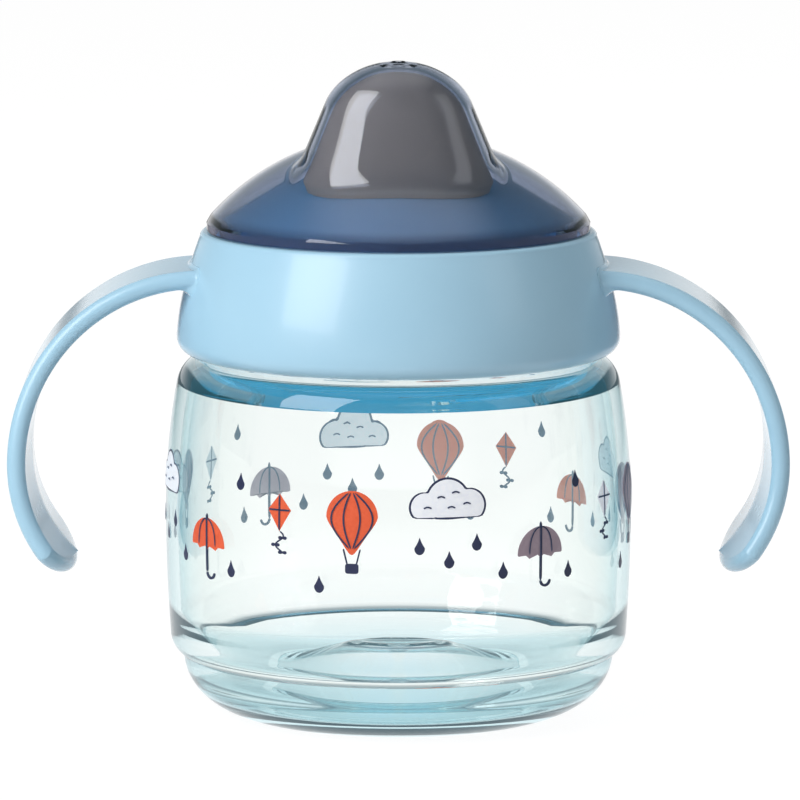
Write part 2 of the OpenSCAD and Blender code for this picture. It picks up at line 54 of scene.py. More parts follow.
# %% [markdown]
# ## The camera
# A picture of a cup is best taken from far away with a long lens, which keeps its sides almost
# upright. The camera could be placed by eye in the viewport, but numbers give the same picture on
# every run. The picture is square, so with a sensor of 36 mm the lens alone sets how much it shows.

# %% Camera
MM = 0.001
CAMERA_PITCH = radians(8.4)
CAMERA_DISTANCE = 1156.4 * MM
AIM = Vector((0.26, 0, 51.9)) * MM
LENS, SENSOR, FARTHEST = 315, 36, 50

lens_data = bpy.data.cameras.new("camera")
lens_data.lens, lens_data.sensor_width, lens_data.clip_end = LENS, SENSOR, FARTHEST
camera = bpy.data.objects.new("camera", lens_data)
bpy.context.scene.collection.objects.link(camera)
camera.location = AIM + Vector((0, -cos(CAMERA_PITCH), sin(CAMERA_PITCH))) * CAMERA_DISTANCE
camera.rotation_euler = (pi / 2 - CAMERA_PITCH, 0, 0)
bpy.context.scene.camera = camera
print("camera at", [round(v, 4) for v in camera.location])

# %% [markdown]
# ## A helper for materials
# Each material is a small tree of nodes. It could be wired by hand in the shader editor, but long
# trees are easier to read as text. The class Finish adds nodes by type, and the class Value wraps
# an output so that plain Python arithmetic on it adds Math nodes.


# %% Shader helpers
class Value:
    """One output of a node. Arithmetic on it adds Math nodes to the same tree."""

    def __init__(self, tree, socket):
        self.tree, self.socket = tree, socket

    def math(self, operation, first, second):
        node = self.tree.nodes.new("ShaderNodeMath")
        node.operation = operation
        for slot, value in zip(node.inputs, (first, second)):
            if isinstance(value, Value):
                self.tree.links.new(value.socket, slot)
            else:
                slot.default_value = value
        return Value(self.tree, node.outputs[0])

    def __add__(self, other):
        return self.math("ADD", self, other)

    def __radd__(self, other):
        return self.math("ADD", other, self)

    def __sub__(self, other):
        return self.math("SUBTRACT", self, other)

    def __rsub__(self, other):
        return self.math("SUBTRACT", other, self)

    def __mul__(self, other):
        return self.math("MULTIPLY", self, other)

    def __rmul__(self, other):
        return self.math("MULTIPLY", other, self)


class Finish:
    """A node tree being built. node() adds one node with its settings and its inputs."""

    def __init__(self, tree):
        self.tree = tree
        tree.nodes.clear()

    def node(self, kind, settings=None, inputs=None, output=0):
        made = self.tree.nodes.new("ShaderNode" + kind)
        for name, value in (settings or {}).items():
            if name == "stops":
                self.set_stops(made.color_ramp, value)
            else:
                setattr(made, name, value)
        for name, value in (inputs or {}).items():
            if isinstance(value, Value):
                self.tree.links.new(value.socket, made.inputs[name])
            else:
                made.inputs[name].default_value = value
        return Value(self.tree, made.outputs[output]) if made.outputs else made

    def set_stops(self, ramp, stops):
        while len(ramp.elements) < len(stops):
            ramp.elements.new(0.5)
        for element, (place, color) in zip(ramp.elements, stops):
            element.position, element.color = place, color

    def noise(self, scale, detail):
        place = self.node("TexCoord", output="Object")
        return self.node("TexNoise", inputs={"Vector": place, "Scale": scale, "Detail": detail})

    def axis(self, vector, name):
        """One number of a vector: X, Y or Z."""
        return self.node("SeparateXYZ", None, {"Vector": vector}, output=name)

    def fade(self, value, start, end, low=0.0, high=1.0):
        """Goes softly from low to high while value goes from start to end."""
        return self.node("MapRange", {"interpolation_type": "SMOOTHSTEP"}, {
            "Value": value, "From Min": start, "From Max": end, "To Min": low, "To Max": high})

    def shades(self, factor, low, high):
        """Two near colours, mixed over the middle of a noise's range."""
        return self.node("ValToRGB", {"stops": ((0.3, low), (0.7, high))}, {"Fac": factor})

    def bump(self, height, strength, distance):
        return self.node("Bump", None, {"Height": height, "Strength": strength, "Distance": distance})


def linear(red, green, blue):
    """An sRGB colour from 0 to 255 as the linear RGBA that nodes use."""
    def one(value):
        value /= 255
        return value / 12.92 if value <= 0.04045 else ((value + 0.055) / 1.055) ** 2.4
    return (one(red), one(green), one(blue), 1.0)


def new_finish(name):
    material = bpy.data.materials.new(name)
    material.use_nodes = True
    return material, Finish(material.node_tree)


print("middle grey in linear light:", [round(v, 3) for v in linear(128, 128, 128)])


# %% [markdown]
# ## The room
# The cup stands in front of white, and the room behind the camera is dim. Clear plastic bends what
# stands round it into view, so it is the dim room that draws its edges. A photographed surrounding
# could do this, but a few nodes on the direction of a ray need no file and are easy to change. The
# world is white low down and straight above, fades upward and to the sides, and gives one even
# level of diffuse light.

# %% World
ROOM_LEVEL = 0.25
WHITE, DIM_COLOR = (1, 1, 1, 1), (0.11, 0.16, 0.19, 1)
UP_LEVELS = ((0.0, 1), (0.08, 0.8), (0.18, 0.36), (0.5, 0.1), (0.8, 0), (0.95, 0.9))
SIDE_FADE, SIDE_LEVELS = (0.5, 0.1), (0.2, 1.0)


def seen_rays(finish):
    """1 for rays that show the studio: straight to the camera, mirrored, or through clear plastic."""
    kinds = [finish.node("LightPath", output=name)
             for name in ("Is Camera Ray", "Is Glossy Ray", "Is Transmission Ray")]
    seen = kinds[0]
    for kind in kinds[1:]:
        seen = seen.math("MAXIMUM", seen, kind)
    return seen


world = bpy.data.worlds.new("studio")
bpy.context.scene.world = world
world.use_nodes = True
room = Finish(world.node_tree)
direction = room.node("TexCoord", output="Generated")
aside = room.axis(direction, "X")
low_white = room.node("ValToRGB", {"stops": [(up, (v, v, v, 1)) for up, v in UP_LEVELS]},
                      {"Fac": room.axis(direction, "Z")})
middle = room.fade(aside * aside, *SIDE_FADE, *SIDE_LEVELS)
backdrop = room.node("Background", None, {"Color": WHITE, "Strength": 1.0})
dim = room.node("Background", None, {"Color": DIM_COLOR, "Strength": 1.0})
ambient = room.node("Background", None, {"Color": WHITE, "Strength": ROOM_LEVEL})
studio = room.node("MixShader", None, {"Fac": low_white * middle, 1: dim, 2: backdrop})
light = room.node("MixShader", None, {"Fac": seen_rays(room), 1: ambient, 2: studio})
room.node("OutputWorld", None, {"Surface": light})
print("world lights at", ROOM_LEVEL)

# %% [markdown]
# ## The floor
# The cup stands on a pale table. A plain white plane would turn grey, and more light would wash
# out the cup, so the floor glows white for rays that show it, straight or through clear plastic. A
# share of plain diffuse keeps the soft shadow. Mirrored rays find the floor white only in a lane
# under and behind the cup, because a wide white floor would make the glossy sides milky.

# %% Floor
FLOOR_SIDE, FLOOR_COLOR = 8.0, (0.8, 0.8, 0.8, 1)
FLOOR_WHITE, FLOOR_DIM, FLOOR_SEEN = 1.12, 0.2, 0.85
FRONT_FADE, LANE_FADE = (-0.5, -0.1), (0.06, 0.01)

bpy.ops.object.select_all(action="DESELECT")
bpy.ops.mesh.primitive_plane_add(size=FLOOR_SIDE, location=(0, 0, 0))
floor = bpy.context.object
floor.name = "floor"
material, finish = new_finish("pale_floor")
matte = finish.node("BsdfDiffuse", None, {"Color": FLOOR_COLOR})
place = finish.node("TexCoord", output="Object")
aside = finish.axis(place, "X")
behind = finish.fade(finish.axis(place, "Y"), *FRONT_FADE)
lane = finish.fade(aside * aside, *LANE_FADE)
through = finish.node("LightPath", output="Is Transmission Ray")
direct = finish.node("LightPath", output="Is Camera Ray")
lit = direct.math("MAXIMUM", direct, behind * direct.math("MAXIMUM", through, lane))
white = finish.node("Emission", None, {"Color": WHITE, "Strength": FLOOR_WHITE})
unlit = finish.node("Emission", None, {"Color": WHITE, "Strength": FLOOR_DIM})
glow = finish.node("MixShader", None, {"Fac": lit, 1: unlit, 2: white})
shown = finish.node("MixShader", None, {"Fac": seen_rays(finish) * FLOOR_SEEN, 1: matte, 2: glow})
finish.node("OutputMaterial", None, {"Surface": shown})
floor.data.materials.append(material)
print("floor of", FLOOR_SIDE, "m")

# %% [markdown]
# ## The softboxes
# The long soft highlights on collar and spout are mirror images of wide lamps. Point lamps would
# give hard shadows and tiny highlights, so area lamps are used: a key light on the left, a weak
# fill on the right, and one behind the cup for the rims of the handles. The one behind is kept out
# of reflections and of what clear plastic shows, where it would leave a white patch.


# %% Softboxes
def softbox(name, azimuth, elevation, distance, width, height, watts):
    """A lamp aimed at the cup. The azimuth counts in degrees from the front, right is positive."""
    data = bpy.data.lights.new(name, "AREA")
    data.shape = "RECTANGLE"
    data.size, data.size_y, data.energy = width, height, watts
    lamp = bpy.data.objects.new(name, data)
    bpy.context.scene.collection.objects.link(lamp)
    turn, rise = radians(azimuth), radians(elevation)
    away = Vector((sin(turn) * cos(rise), -cos(turn) * cos(rise), sin(rise)))
    lamp.location = AIM + away * distance
    lamp.rotation_euler = away.to_track_quat("Z", "Y").to_euler()
    print(name, "at", [round(v, 2) for v in lamp.location])
    return lamp


softbox("key", azimuth=-48, elevation=32, distance=0.9, width=0.5, height=0.65, watts=6.4)
softbox("fill", azimuth=62, elevation=28, distance=1.0, width=0.35, height=0.6, watts=0.6)
back = softbox("back", azimuth=138, elevation=38, distance=1.0, width=0.5, height=0.6, watts=2.6)
back.visible_glossy = back.visible_transmission = False

# %% [markdown]
# ## Opaque finishes
# Moulded plastic is never one flat colour: it has faint cloudiness, a little unevenness of gloss
# and a skin with fine ripples. A painted image could show that, but it would need an unwrapped
# mesh. Each finish mixes two near colours by noise on Object coordinates instead, so the pattern
# moves with its piece. Seen at a flat angle the skin mirrors more sharply, so it gets smoother.

# %% Opaque plastics and silicone
CLOUD_SCALE, GLOSS_SWING, RIPPLE_DEPTH = 55, 0.06, 0.0002
FLAT_FADE, FLAT_POLISH = (0.8, 0.95), 0.3


def moulded(name, color, darker, gloss, grain, ripple, glow=0.0, coat=0.0):
    """An opaque moulded finish: color fades to darker in faint clouds, gloss is the roughness,
    grain and ripple are the scale and strength of the skin's ripples, and glow stands in for light
    that comes through the plastic from its other side."""
    material, finish = new_finish(name)
    clouds = finish.noise(CLOUD_SCALE, 3)
    skin = finish.noise(grain, 2)
    tone = finish.shades(clouds, linear(*darker), linear(*color))
    slant = finish.node("LayerWeight", None, {"Blend": 0.5}, output="Facing")
    polish = finish.fade(slant, *FLAT_FADE, 1.0, FLAT_POLISH)
    rough = gloss * polish + (skin - 0.5) * GLOSS_SWING
    surface = finish.node("BsdfPrincipled", None, {
        "Base Color": tone, "Roughness": rough, "IOR": 1.49,
        "Emission Color": tone, "Emission Strength": glow, "Coat Weight": coat, "Coat Roughness": 0.1,
        "Normal": finish.bump(skin, ripple, RIPPLE_DEPTH)})
    finish.node("OutputMaterial", None, {"Surface": surface})
    return material


PLASTIC, SILICONE = (900, 0.04), (1500, 0.1)
blue_plastic = moulded("blue_plastic", (174, 215, 237), (170, 212, 235), 0.34, *PLASTIC, coat=0.25)
lid_plastic = moulded("lid_plastic", (162, 211, 243), (158, 207, 241), 0.35, *PLASTIC)
# The inner faces get a deeper blue that glows: painted light for the light that comes through the walls
# and bounces inside the blue plastic.
painted_glow_blue = moulded("painted_glow_blue", (74, 170, 208), (68, 163, 202), 0.4, *PLASTIC, glow=0.5)
spout_silicone = moulded("spout_silicone", (222, 203, 182), (216, 197, 176), 0.55, *SILICONE)
seal_silicone = moulded("seal_silicone", (231, 233, 231), (224, 227, 226), 0.5, *SILICONE)
valve_plastic = moulded("valve_plastic", (238, 240, 242), (232, 235, 238), 0.35, *PLASTIC)
print("opaque finishes:", sorted(m.name for m in bpy.data.materials))

# %% [markdown]
# ## See-through finishes
# The tumbler is clear and the cap is smoky. Such plastic is pale face-on and deep in colour along
# its edges, because light runs far inside the wall there. An absorbing volume gives a part of that,
# but light that is caught in the wall takes more bounces than a render follows. So a ramp on the
# facing angle deepens the edges, partly as that tint and partly as painted shade for the dim room
# that they bend into view. The foot is tinted by height, partly as thick plastic and partly as a
# painted blue for the blue pieces it bends into view, the cap's low rim gets a painted shade, and a
# faint even glow stands in for the light that is caught.

# %% See-through plastics
WAVE_SCALE, WAVE_DEPTH = 60, 0.0005
LEVEL_EASE = 0.35


def see_through(name, stops, tint_and_painted_light, tint_and_painted_light_heights, stray, gloss, ripple, absorbed, density):
    """A clear moulded finish that bends light. stops tints it from face-on to edge-on, less so on
    level faces, with painted shade at the edges. tint_and_painted_light tints the plastic between
    two heights: thick plastic and a painted blue on the foot, a painted shade on the cap's rim.
    stray is the caught light, and absorbed colours long paths inside the wall."""
    material, finish = new_finish(name)
    waves = finish.noise(WAVE_SCALE, 1)
    rough = gloss * (0.7 + waves * 0.6)
    slant = finish.node("LayerWeight", None, {"Blend": 0.5}, output="Facing")
    level = finish.axis(finish.node("TexCoord", output="Normal"), "Z")
    # Painted shade: the ramp darkens the plastic where it is seen edge-on.
    edge = finish.node("ValToRGB", {"stops": stops},
                       {"Fac": slant * (1 - level * level * LEVEL_EASE)})
    # Painted light by height: a tint between two heights, multiplied into the edge ramp.
    height = finish.axis(finish.node("TexCoord", output="Object"), "Z")
    tone = finish.node("Mix", {"data_type": "RGBA", "blend_type": "MULTIPLY"},
                       {0: finish.fade(height, *tint_and_painted_light_heights), 6: edge, 7: tint_and_painted_light}, output=2)
    surface = finish.node("BsdfPrincipled", None, {
        "Base Color": tone, "Roughness": rough, "IOR": 1.5, "Transmission Weight": 1.0,
        "Emission Color": stray, "Emission Strength": 1.0,
        "Normal": finish.bump(waves, ripple, WAVE_DEPTH)})
    inside = finish.node("VolumeAbsorption", None, {"Color": absorbed, "Density": density})
    finish.node("OutputMaterial", None, {"Surface": surface, "Volume": inside})
    return material


# %% Clear and smoky plastic
# Both ramps go dark edge-on: partly the tint of long paths in the wall, partly painted shade for the
# dim room seen through the edges.
CLEAR = ((0.2, (0.998, 0.985, 0.965, 1)), (0.4, (0.93, 0.945, 0.915, 1)),
         (0.55, (0.85, 0.885, 0.86, 1)), (0.7, (0.66, 0.81, 0.82, 1)),
         (0.82, (0.36, 0.6, 0.64, 1)), (1.0, (0.1, 0.32, 0.4, 1)))
SMOKY = ((0.2, (0.635, 0.68, 0.79, 1)), (1.0, (0.36, 0.4, 0.5, 1)))
# The foot's tint is partly thick plastic and partly a painted blue for the blue pieces that the foot
# bends into view.
FOOT_TINT_AND_PAINTED_BLUE, FOOT_FADE = (0.66, 0.84, 0.89, 1), (0.013, 0.003)
# A painted shade darkens the cap's low rim.
RIM_PAINTED_SHADE, RIM_FADE = (0.52, 0.5, 0.56, 1), (0.0834, 0.0814)
STRAY, NO_STRAY = (0.002, 0.011, 0.015, 1), (0, 0, 0, 1)

clear_plastic = see_through("clear_plastic", CLEAR, FOOT_TINT_AND_PAINTED_BLUE, FOOT_FADE, STRAY, gloss=0.01,
                            ripple=0.02, absorbed=(0.08, 0.62, 0.72, 1), density=16.0)
smoky_plastic = see_through("smoky_plastic", SMOKY, RIM_PAINTED_SHADE, RIM_FADE, NO_STRAY, gloss=0.03,
                            ripple=0.01, absorbed=linear(120, 130, 150), density=60.0)
print("see-through finishes:", clear_plastic.name, smoky_plastic.name)

# %% [markdown]
# ## Turned pieces
# Tumbler, collar and lid are round, so each is a half outline spun about the cup's axis. A cylinder
# could be scaled ring by ring, but an outline keeps every radius and height as a plain number. It
# starts as one vertex, from a plane merged to its centre, and grows by extruding.

# %% Selecting and editing
MERGE_GAP = 0.002


def only(*pieces):
    """Selects these pieces alone and makes the first one active."""
    bpy.ops.object.select_all(action="DESELECT")
    for piece in pieces:
        piece.select_set(True)
    bpy.context.view_layer.objects.active = pieces[0]


def edit_mode(piece):
    only(piece)
    bpy.ops.object.mode_set(mode="EDIT")
    bpy.ops.mesh.select_all(action="SELECT")


def object_mode():
    bpy.ops.object.mode_set(mode="OBJECT")


def new_piece(name):
    """Names the primitive that was just added, and opens it for editing."""
    piece = bpy.context.object
    piece.name = piece.data.name = name
    edit_mode(piece)
    return piece


def clean(piece):
    """Merges doubled points and turns all faces outward, then leaves edit mode."""
    bpy.ops.mesh.select_all(action="SELECT")
    bpy.ops.mesh.remove_doubles(threshold=MERGE_GAP * MM)
    bpy.ops.mesh.select_all(action="SELECT")
    bpy.ops.mesh.normals_make_consistent(inside=False)
    object_mode()


# %% Turning helpers
def arc(x, z, r, start, end, count):
    """Points along a circle about (x, z), from the start angle to the end angle in degrees."""
    angles = [radians(start + (end - start) * i / count) for i in range(count + 1)]
    return [(x + r * cos(a), z + r * sin(a)) for a in angles]


def turned(name, outline, steps):
    """Spins an outline of (radius, height) in millimetres about the cup's axis."""
    bpy.ops.object.select_all(action="DESELECT")
    bpy.ops.mesh.primitive_plane_add(size=MM)
    piece = new_piece(name)
    bpy.ops.mesh.merge(type="CENTER")
    points = [Vector((x, 0, z)) * MM for x, z in outline]
    bpy.ops.transform.translate(value=points[0])
    for here, there in zip(points, points[1:]):
        bpy.ops.mesh.extrude_region_move(TRANSFORM_OT_translate={"value": there - here})
    bpy.ops.mesh.select_all(action="SELECT")
    bpy.ops.mesh.spin(steps=steps, angle=tau, center=(0, 0, 0), axis=(0, 0, 1))
    clean(piece)
    return piece


print("a quarter arc:", [(round(x, 2), round(z, 2)) for x, z in arc(0, 0, 1, 0, 90, 2)])


# %% Finishing a piece
def finished(piece, material, body, slot, *nodes, angle=35):
    """Smooths a piece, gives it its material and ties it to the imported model."""
    only(piece)
    bpy.ops.object.shade_smooth_by_angle(angle=radians(angle))
    piece.data.materials.clear()
    piece.data.materials.append(material)
    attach(piece, body)
    if nodes:
        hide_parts(*nodes)
    size = [round(v / MM, 1) for v in piece.dimensions]
    print(piece.name, size, "mm,", len(piece.data.polygons), "faces")


def inside_faces(piece, material, is_inside):
    """Gives a second material to the faces for which is_inside(middle, normal) is true."""
    piece.data.materials.append(material)
    for face in piece.data.polygons:
        if is_inside(face.center / MM, face.normal):
            face.material_index = 1


# %% [markdown]
# ## Wrapped pieces
# Handles, cap, spout, thread and print are not round. They could be pulled into shape by hand, but
# not evenly, so each is a flat grid whose points are moved to their places by a function of the
# column and the row. Boolean modifiers cut or unite pieces.


# %% Wrapping helpers
def wrapped(name, across, along, place):
    """A grid whose points are moved to place(column, row) in millimetres."""
    bpy.ops.object.select_all(action="DESELECT")
    bpy.ops.mesh.primitive_grid_add(x_subdivisions=across, y_subdivisions=along, size=2)
    piece = new_piece(name)
    grid = bmesh.from_edit_mesh(piece.data)
    for vertex in grid.verts:
        column = round((vertex.co.x + 1) / 2 * across)
        row = round((vertex.co.y + 1) / 2 * along)
        vertex.co = Vector(place(column, row)) * MM
    bmesh.update_edit_mesh(piece.data)
    clean(piece)
    return piece


# %% Joining and cutting
def joined(first, *others):
    """Joins pieces into the first."""
    only(first, *others)
    bpy.ops.object.join()
    return first


def combined(piece, other, operation="DIFFERENCE"):
    """Cuts the other piece out of the first, or unites them, with a Boolean modifier."""
    modifier = piece.modifiers.new("combined", "BOOLEAN")
    modifier.object, modifier.operation, modifier.solver = other, operation, "EXACT"
    bpy.context.view_layer.objects.active = piece
    bpy.ops.object.modifier_apply(modifier=modifier.name)
    bpy.data.objects.remove(other)


def close_ends(piece):
    """Fills the open loops at the two ends of a wrapped tube."""
    edit_mode(piece)
    bpy.ops.mesh.select_all(action="DESELECT")
    bpy.ops.mesh.select_non_manifold(extend=False)
    bpy.ops.mesh.edge_face_add()
    clean(piece)


def lerp(a, b, share):
    return a + (b - a) * share


# %% [markdown]
# ## The tumbler
# A barrel wall, drawn in toward a round shoulder, stands on a stacking step and a rounded foot. The
# base stands on a narrow ring and is drawn up in the middle like a bell, with a dimple in its top
# and the moulding gate under it. A Solidify modifier could give an even wall, but the inside of such
# a cup bends more softly than its outside. So one closed outline holds both.

# %% Tumbler outline
BODY_R, BULGE_Z = 38.5, 34.0
LOW_DRAW, HIGH_DRAW = 0.7, 1.9
SHOULDER_Z, SHOULDER_ROUND = 55.3, 5.5
STEP_Z, STEP_ROUND, STEP_IN = 10.1, 4.0, 2.2
FOOT_RING_R, FOOT_RING_W, FOOT_SQUARE = 23.0, 2.0, 0.7
PUNT_H, PUNT_T, DIMPLE_R, DIMPLE_D = 12.0, 2.0, 9.0, 5.0
GATE_R, GATE_H, GATE_EDGE = 1.6, 0.6, 0.3
WALL, FLOOR_T = 2.0, 2.3
INNER_DROP, INNER_TILT, NECK_TILT = 0.5, 42, 75
BEND_LOW, BEND_HIGH = 6.0, 19.0
NECK_WALL, RIM_ROUND = 1.9, 0.6
WALL_ROWS = 24

low_r = BODY_R - LOW_DRAW
foot_r = low_r - STEP_IN
step_turn = degrees(acos(1 - STEP_IN / STEP_ROUND))
low_z = STEP_Z + STEP_ROUND * sin(radians(step_turn))
lean_in = degrees(atan(2 * HIGH_DRAW / (SHOULDER_Z - BULGE_Z)))
neck_r = BODY_R - HIGH_DRAW - SHOULDER_ROUND * cos(radians(lean_in))
shoulder_mid_z = SHOULDER_Z - SHOULDER_ROUND * sin(radians(lean_in))
neck_z = shoulder_mid_z + SHOULDER_ROUND
bore_r = neck_r - NECK_WALL
rim_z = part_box("tumbler")[1].z / MM
print("neck radius", round(neck_r, 2), "bore radius", round(bore_r, 2), "rim height", round(rim_z, 2))


# %% Tumbler lines
def wall_r(z):
    """Outer radius of the tumbler's wall at height z."""
    if z < BULGE_Z:
        return BODY_R - LOW_DRAW * ((BULGE_Z - z) / (BULGE_Z - low_z)) ** 2
    return BODY_R - HIGH_DRAW * ((z - BULGE_Z) / (SHOULDER_Z - BULGE_Z)) ** 2


def wall_line(top):
    """The outside of the wall from the step to just below the height top."""
    sides = [low_z + (top - low_z) * i / WALL_ROWS for i in range(1, WALL_ROWS)]
    return (arc(low_r - STEP_ROUND, low_z, STEP_ROUND, -step_turn, 0, 12)
            + [(wall_r(z), z) for z in sides])


def inner_shoulder():
    """The inside of the shoulder, flatter than its outside, from the neck down to the wall."""
    r = wall_r(SHOULDER_Z - INNER_DROP) - WALL
    start, end = radians(INNER_TILT), radians(NECK_TILT)
    rounding = (r - bore_r) / (cos(start) - cos(end))
    x, z = r - rounding * cos(start), SHOULDER_Z - INNER_DROP - rounding * sin(start)
    return arc(x, z, rounding, NECK_TILT, INNER_TILT, 14)


def foot_line(inward, z, square, count=24):
    """The rounded foot from the ring on the table to the step, moved inward."""
    angles = [pi / 2 * i / count for i in range(count)]
    spots = [(sin(a) ** square, cos(a) ** square) for a in angles] + [(1, 0)]
    reach = foot_r - inward - FOOT_RING_R
    return [(FOOT_RING_R + reach * x, STEP_Z + (z - STEP_Z) * y) for x, y in spots]


def inner_line(top):
    """The inside from just below the height top to the base, with a soft bend at the step."""
    foot = foot_line(WALL, FLOOR_T, FOOT_SQUARE)
    heights = [top + (BEND_HIGH - top) * i / WALL_ROWS for i in range(1, WALL_ROWS)]
    low_spot = min(foot, key=lambda spot: abs(spot[1] - BEND_LOW))
    bend = []
    for i in range(WALL_ROWS):
        share = i / WALL_ROWS
        z = lerp(BEND_HIGH, low_spot[1], share)
        bend.append((lerp(wall_r(BEND_HIGH) - WALL, low_spot[0], share * share * (3 - 2 * share)), z))
    return [(wall_r(z) - WALL, z) for z in heights] + bend + foot[:foot.index(low_spot) + 1][::-1]


def bell(x):
    """1 on the axis, falling to 0 where x is 1."""
    return (1 + cos(pi * min(x, 1))) / 2


def base_line(r, down, count=40):
    """The base from the radius r to the axis, moved down."""
    radii = [r * (1 - i / count) for i in range(count + 1)]
    return [(x, FLOOR_T - down + PUNT_H * bell(x / FOOT_RING_R) - DIMPLE_D * bell(x / DIMPLE_R))
            for x in radii]


def gate_line(z):
    """The moulding gate under the dimple, from the axis outward."""
    return [(0, z - GATE_H), (GATE_R - GATE_EDGE, z - GATE_H),
            (GATE_R, z - GATE_H + GATE_EDGE), (GATE_R, z)]


print("wall radius at the bulge", wall_r(BULGE_Z), "at the shoulder", round(wall_r(SHOULDER_Z), 2))

# %% [markdown]
# ## The screw thread
# A thread of one and a quarter turns holds the collar on the neck. The Screw modifier could wind
# it, but not fade its ends, which a moulded thread has. So a grid of four columns is wrapped round
# the axis as a ridge. A Boolean modifier makes it one with the tumbler's wall.

# %% Screw thread
PITCH, TURNS, THREAD_H, THREAD_GAP, THREAD_START = 5.0, 1.25, 1.4, 0.6, 4.1
THREAD_ROOT, THREAD_CREST, THREAD_SUNK, FLANK_GAP = 2.4, 1.1, 0.3, 0.5
THREAD_ROWS, FADE_ROWS, FADE_LEAST = 120, 9, 0.12
ROOT_COLUMNS, LOW_COLUMNS = (0, 3, 4), (0, 1, 4)
thread_drop = (THREAD_ROOT + THREAD_CREST) / 2 + FLANK_GAP


def ridge(name, root_r, crest_r, z):
    """A thread ridge wound round the axis, with ends that fade into its wall."""
    sunk_r = root_r - (THREAD_SUNK if crest_r > root_r else -THREAD_SUNK)

    def spot(column, row):
        fade = max(FADE_LEAST, min(1, row / FADE_ROWS, (THREAD_ROWS - row) / FADE_ROWS))
        at_root = column in ROOT_COLUMNS
        r = sunk_r if at_root else lerp(root_r, crest_r, fade)
        half = (THREAD_ROOT if at_root else THREAD_CREST) / 2
        turn = tau * TURNS * row / THREAD_ROWS
        return (r * cos(turn), r * sin(turn),
                z + PITCH * turn / tau + (-half if column in LOW_COLUMNS else half))
    piece = wrapped(name, 4, THREAD_ROWS, spot)
    close_ends(piece)
    return piece


# %% Tumbler
rim = (arc(neck_r - RIM_ROUND, rim_z - RIM_ROUND, RIM_ROUND, 0, 90, 5)
       + arc(bore_r + RIM_ROUND, rim_z - RIM_ROUND, RIM_ROUND, 90, 180, 5))
ring_in = FOOT_RING_R - FOOT_RING_W
under = base_line(ring_in, PUNT_T)[::-1]
outline = (gate_line(under[0][1]) + [p for p in under if p[0] > GATE_R + GATE_EDGE] + [(ring_in, 0)]
           + foot_line(0, 0, 1) + wall_line(SHOULDER_Z)
           + arc(neck_r, shoulder_mid_z, SHOULDER_ROUND, lean_in, 90, 16) + rim
           + inner_shoulder() + inner_line(SHOULDER_Z - INNER_DROP) + base_line(FOOT_RING_R, 0)[1:])
tumbler = turned("tumbler_clear", outline, 192)
thread = ridge("thread", neck_r, neck_r + THREAD_H, neck_z + THREAD_START)
combined(tumbler, thread, "UNION")
finished(tumbler, clear_plastic, "tumbler", "clear_plastic", "tumbler", angle=28)

# %% [markdown]
# ## The collar
# The collar is a soft cone, rounded under its edge, with a narrow ledge on top that the cap stands
# on. Its bore holds the thread and the lid's flange. A bevelled cone would have straight sides, and
# these swell a little, so the collar is turned from an outline too.

# %% Collar
SKIRT_GAP, SKIRT_ROUND, TOP_ROUND, SKIRT_SWELL = 0.3, 2.6, 0.8, 1.6
SKIRT_WALL, LEDGE_W, OPENING_GAP, LIP_T, LIP_GAP, BORE_CONE = 3.4, 1.1, 0.6, 2.7, 0.6, 6
EDGE_CUT = 0.3

collar_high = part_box("handled_collar")[1] / MM
top_z = collar_high.z
collar_z = neck_z + SKIRT_GAP
skirt_bore = neck_r + THREAD_H + THREAD_GAP
skirt_r = skirt_bore + SKIRT_WALL
cap_low, cap_high = (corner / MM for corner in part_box("travel_cap"))
cap_r, cap_z, hump_z = cap_high.x, cap_low.z, cap_high.z
collar_top_r = cap_r + LEDGE_W
opening_r = bore_r + OPENING_GAP
lip_z = top_z - LIP_T
side_h = top_z - TOP_ROUND - collar_z - SKIRT_ROUND


def collar_r(z):
    """Outer radius of the collar at height z."""
    share = (z - collar_z - SKIRT_ROUND) / side_h
    return skirt_r + (collar_top_r - skirt_r) * min(max(share, 0), 1) ** SKIRT_SWELL


heights = [collar_z + SKIRT_ROUND + side_h * i / 24 for i in range(25)]
outline = (arc(skirt_r - SKIRT_ROUND, collar_z + SKIRT_ROUND, SKIRT_ROUND, 270, 352, 12)
           + [(collar_r(z), z) for z in heights]
           + arc(collar_top_r - TOP_ROUND, top_z - TOP_ROUND, TOP_ROUND, 20, 90, 6)
           + [(opening_r + EDGE_CUT, top_z), (opening_r, top_z - EDGE_CUT), (opening_r, lip_z),
              (neck_r + LIP_GAP, lip_z), (skirt_bore, lip_z - BORE_CONE),
              (skirt_bore, collar_z + EDGE_CUT), (skirt_bore + EDGE_CUT, collar_z)])
outline.append(outline[0])
collar = turned("collar_blue", outline, 192)
print("collar radius", round(skirt_r, 2), "mm at the skirt,", round(collar_top_r, 2), "mm at the top")

# %% [markdown]
# ## The handles
# Each handle is a band that runs out of the collar in a wide arc, turns into a hook and ends in a
# round tongue. A curve with a bevel could follow the arc, but the band gets wider on its way. So a
# grid is laid along the path: its columns go round the section, and its rows go from the root to
# the tip. The long edges are round, the inside has a low ridge, and near the collar each point is
# pushed outward along a quarter circle, which makes the fillet.

# %% Handle path and section
HANDLE_R, HOOK_R, HOOK_END = 30.0, 24.4, radians(47)
HANDLE_T, HANDLE_RISE = 3.0, 13.1
HANDLE_W, PADDLE_W, TIP_L = 22.0, 35.0, 8.0
NOSE_TURN = radians(75)
INNER_RIDGE, RIDGE_FROM, ROOT_SUNK = 0.6, 0.75, 0.8
FILLET_UNDER, FILLET_SIDE, FILLET_OVER = 2.6, 0.5, 0.6
HANDLE_ROWS, FLAT_STEPS, NOSE_STEPS = 110, 8, 6

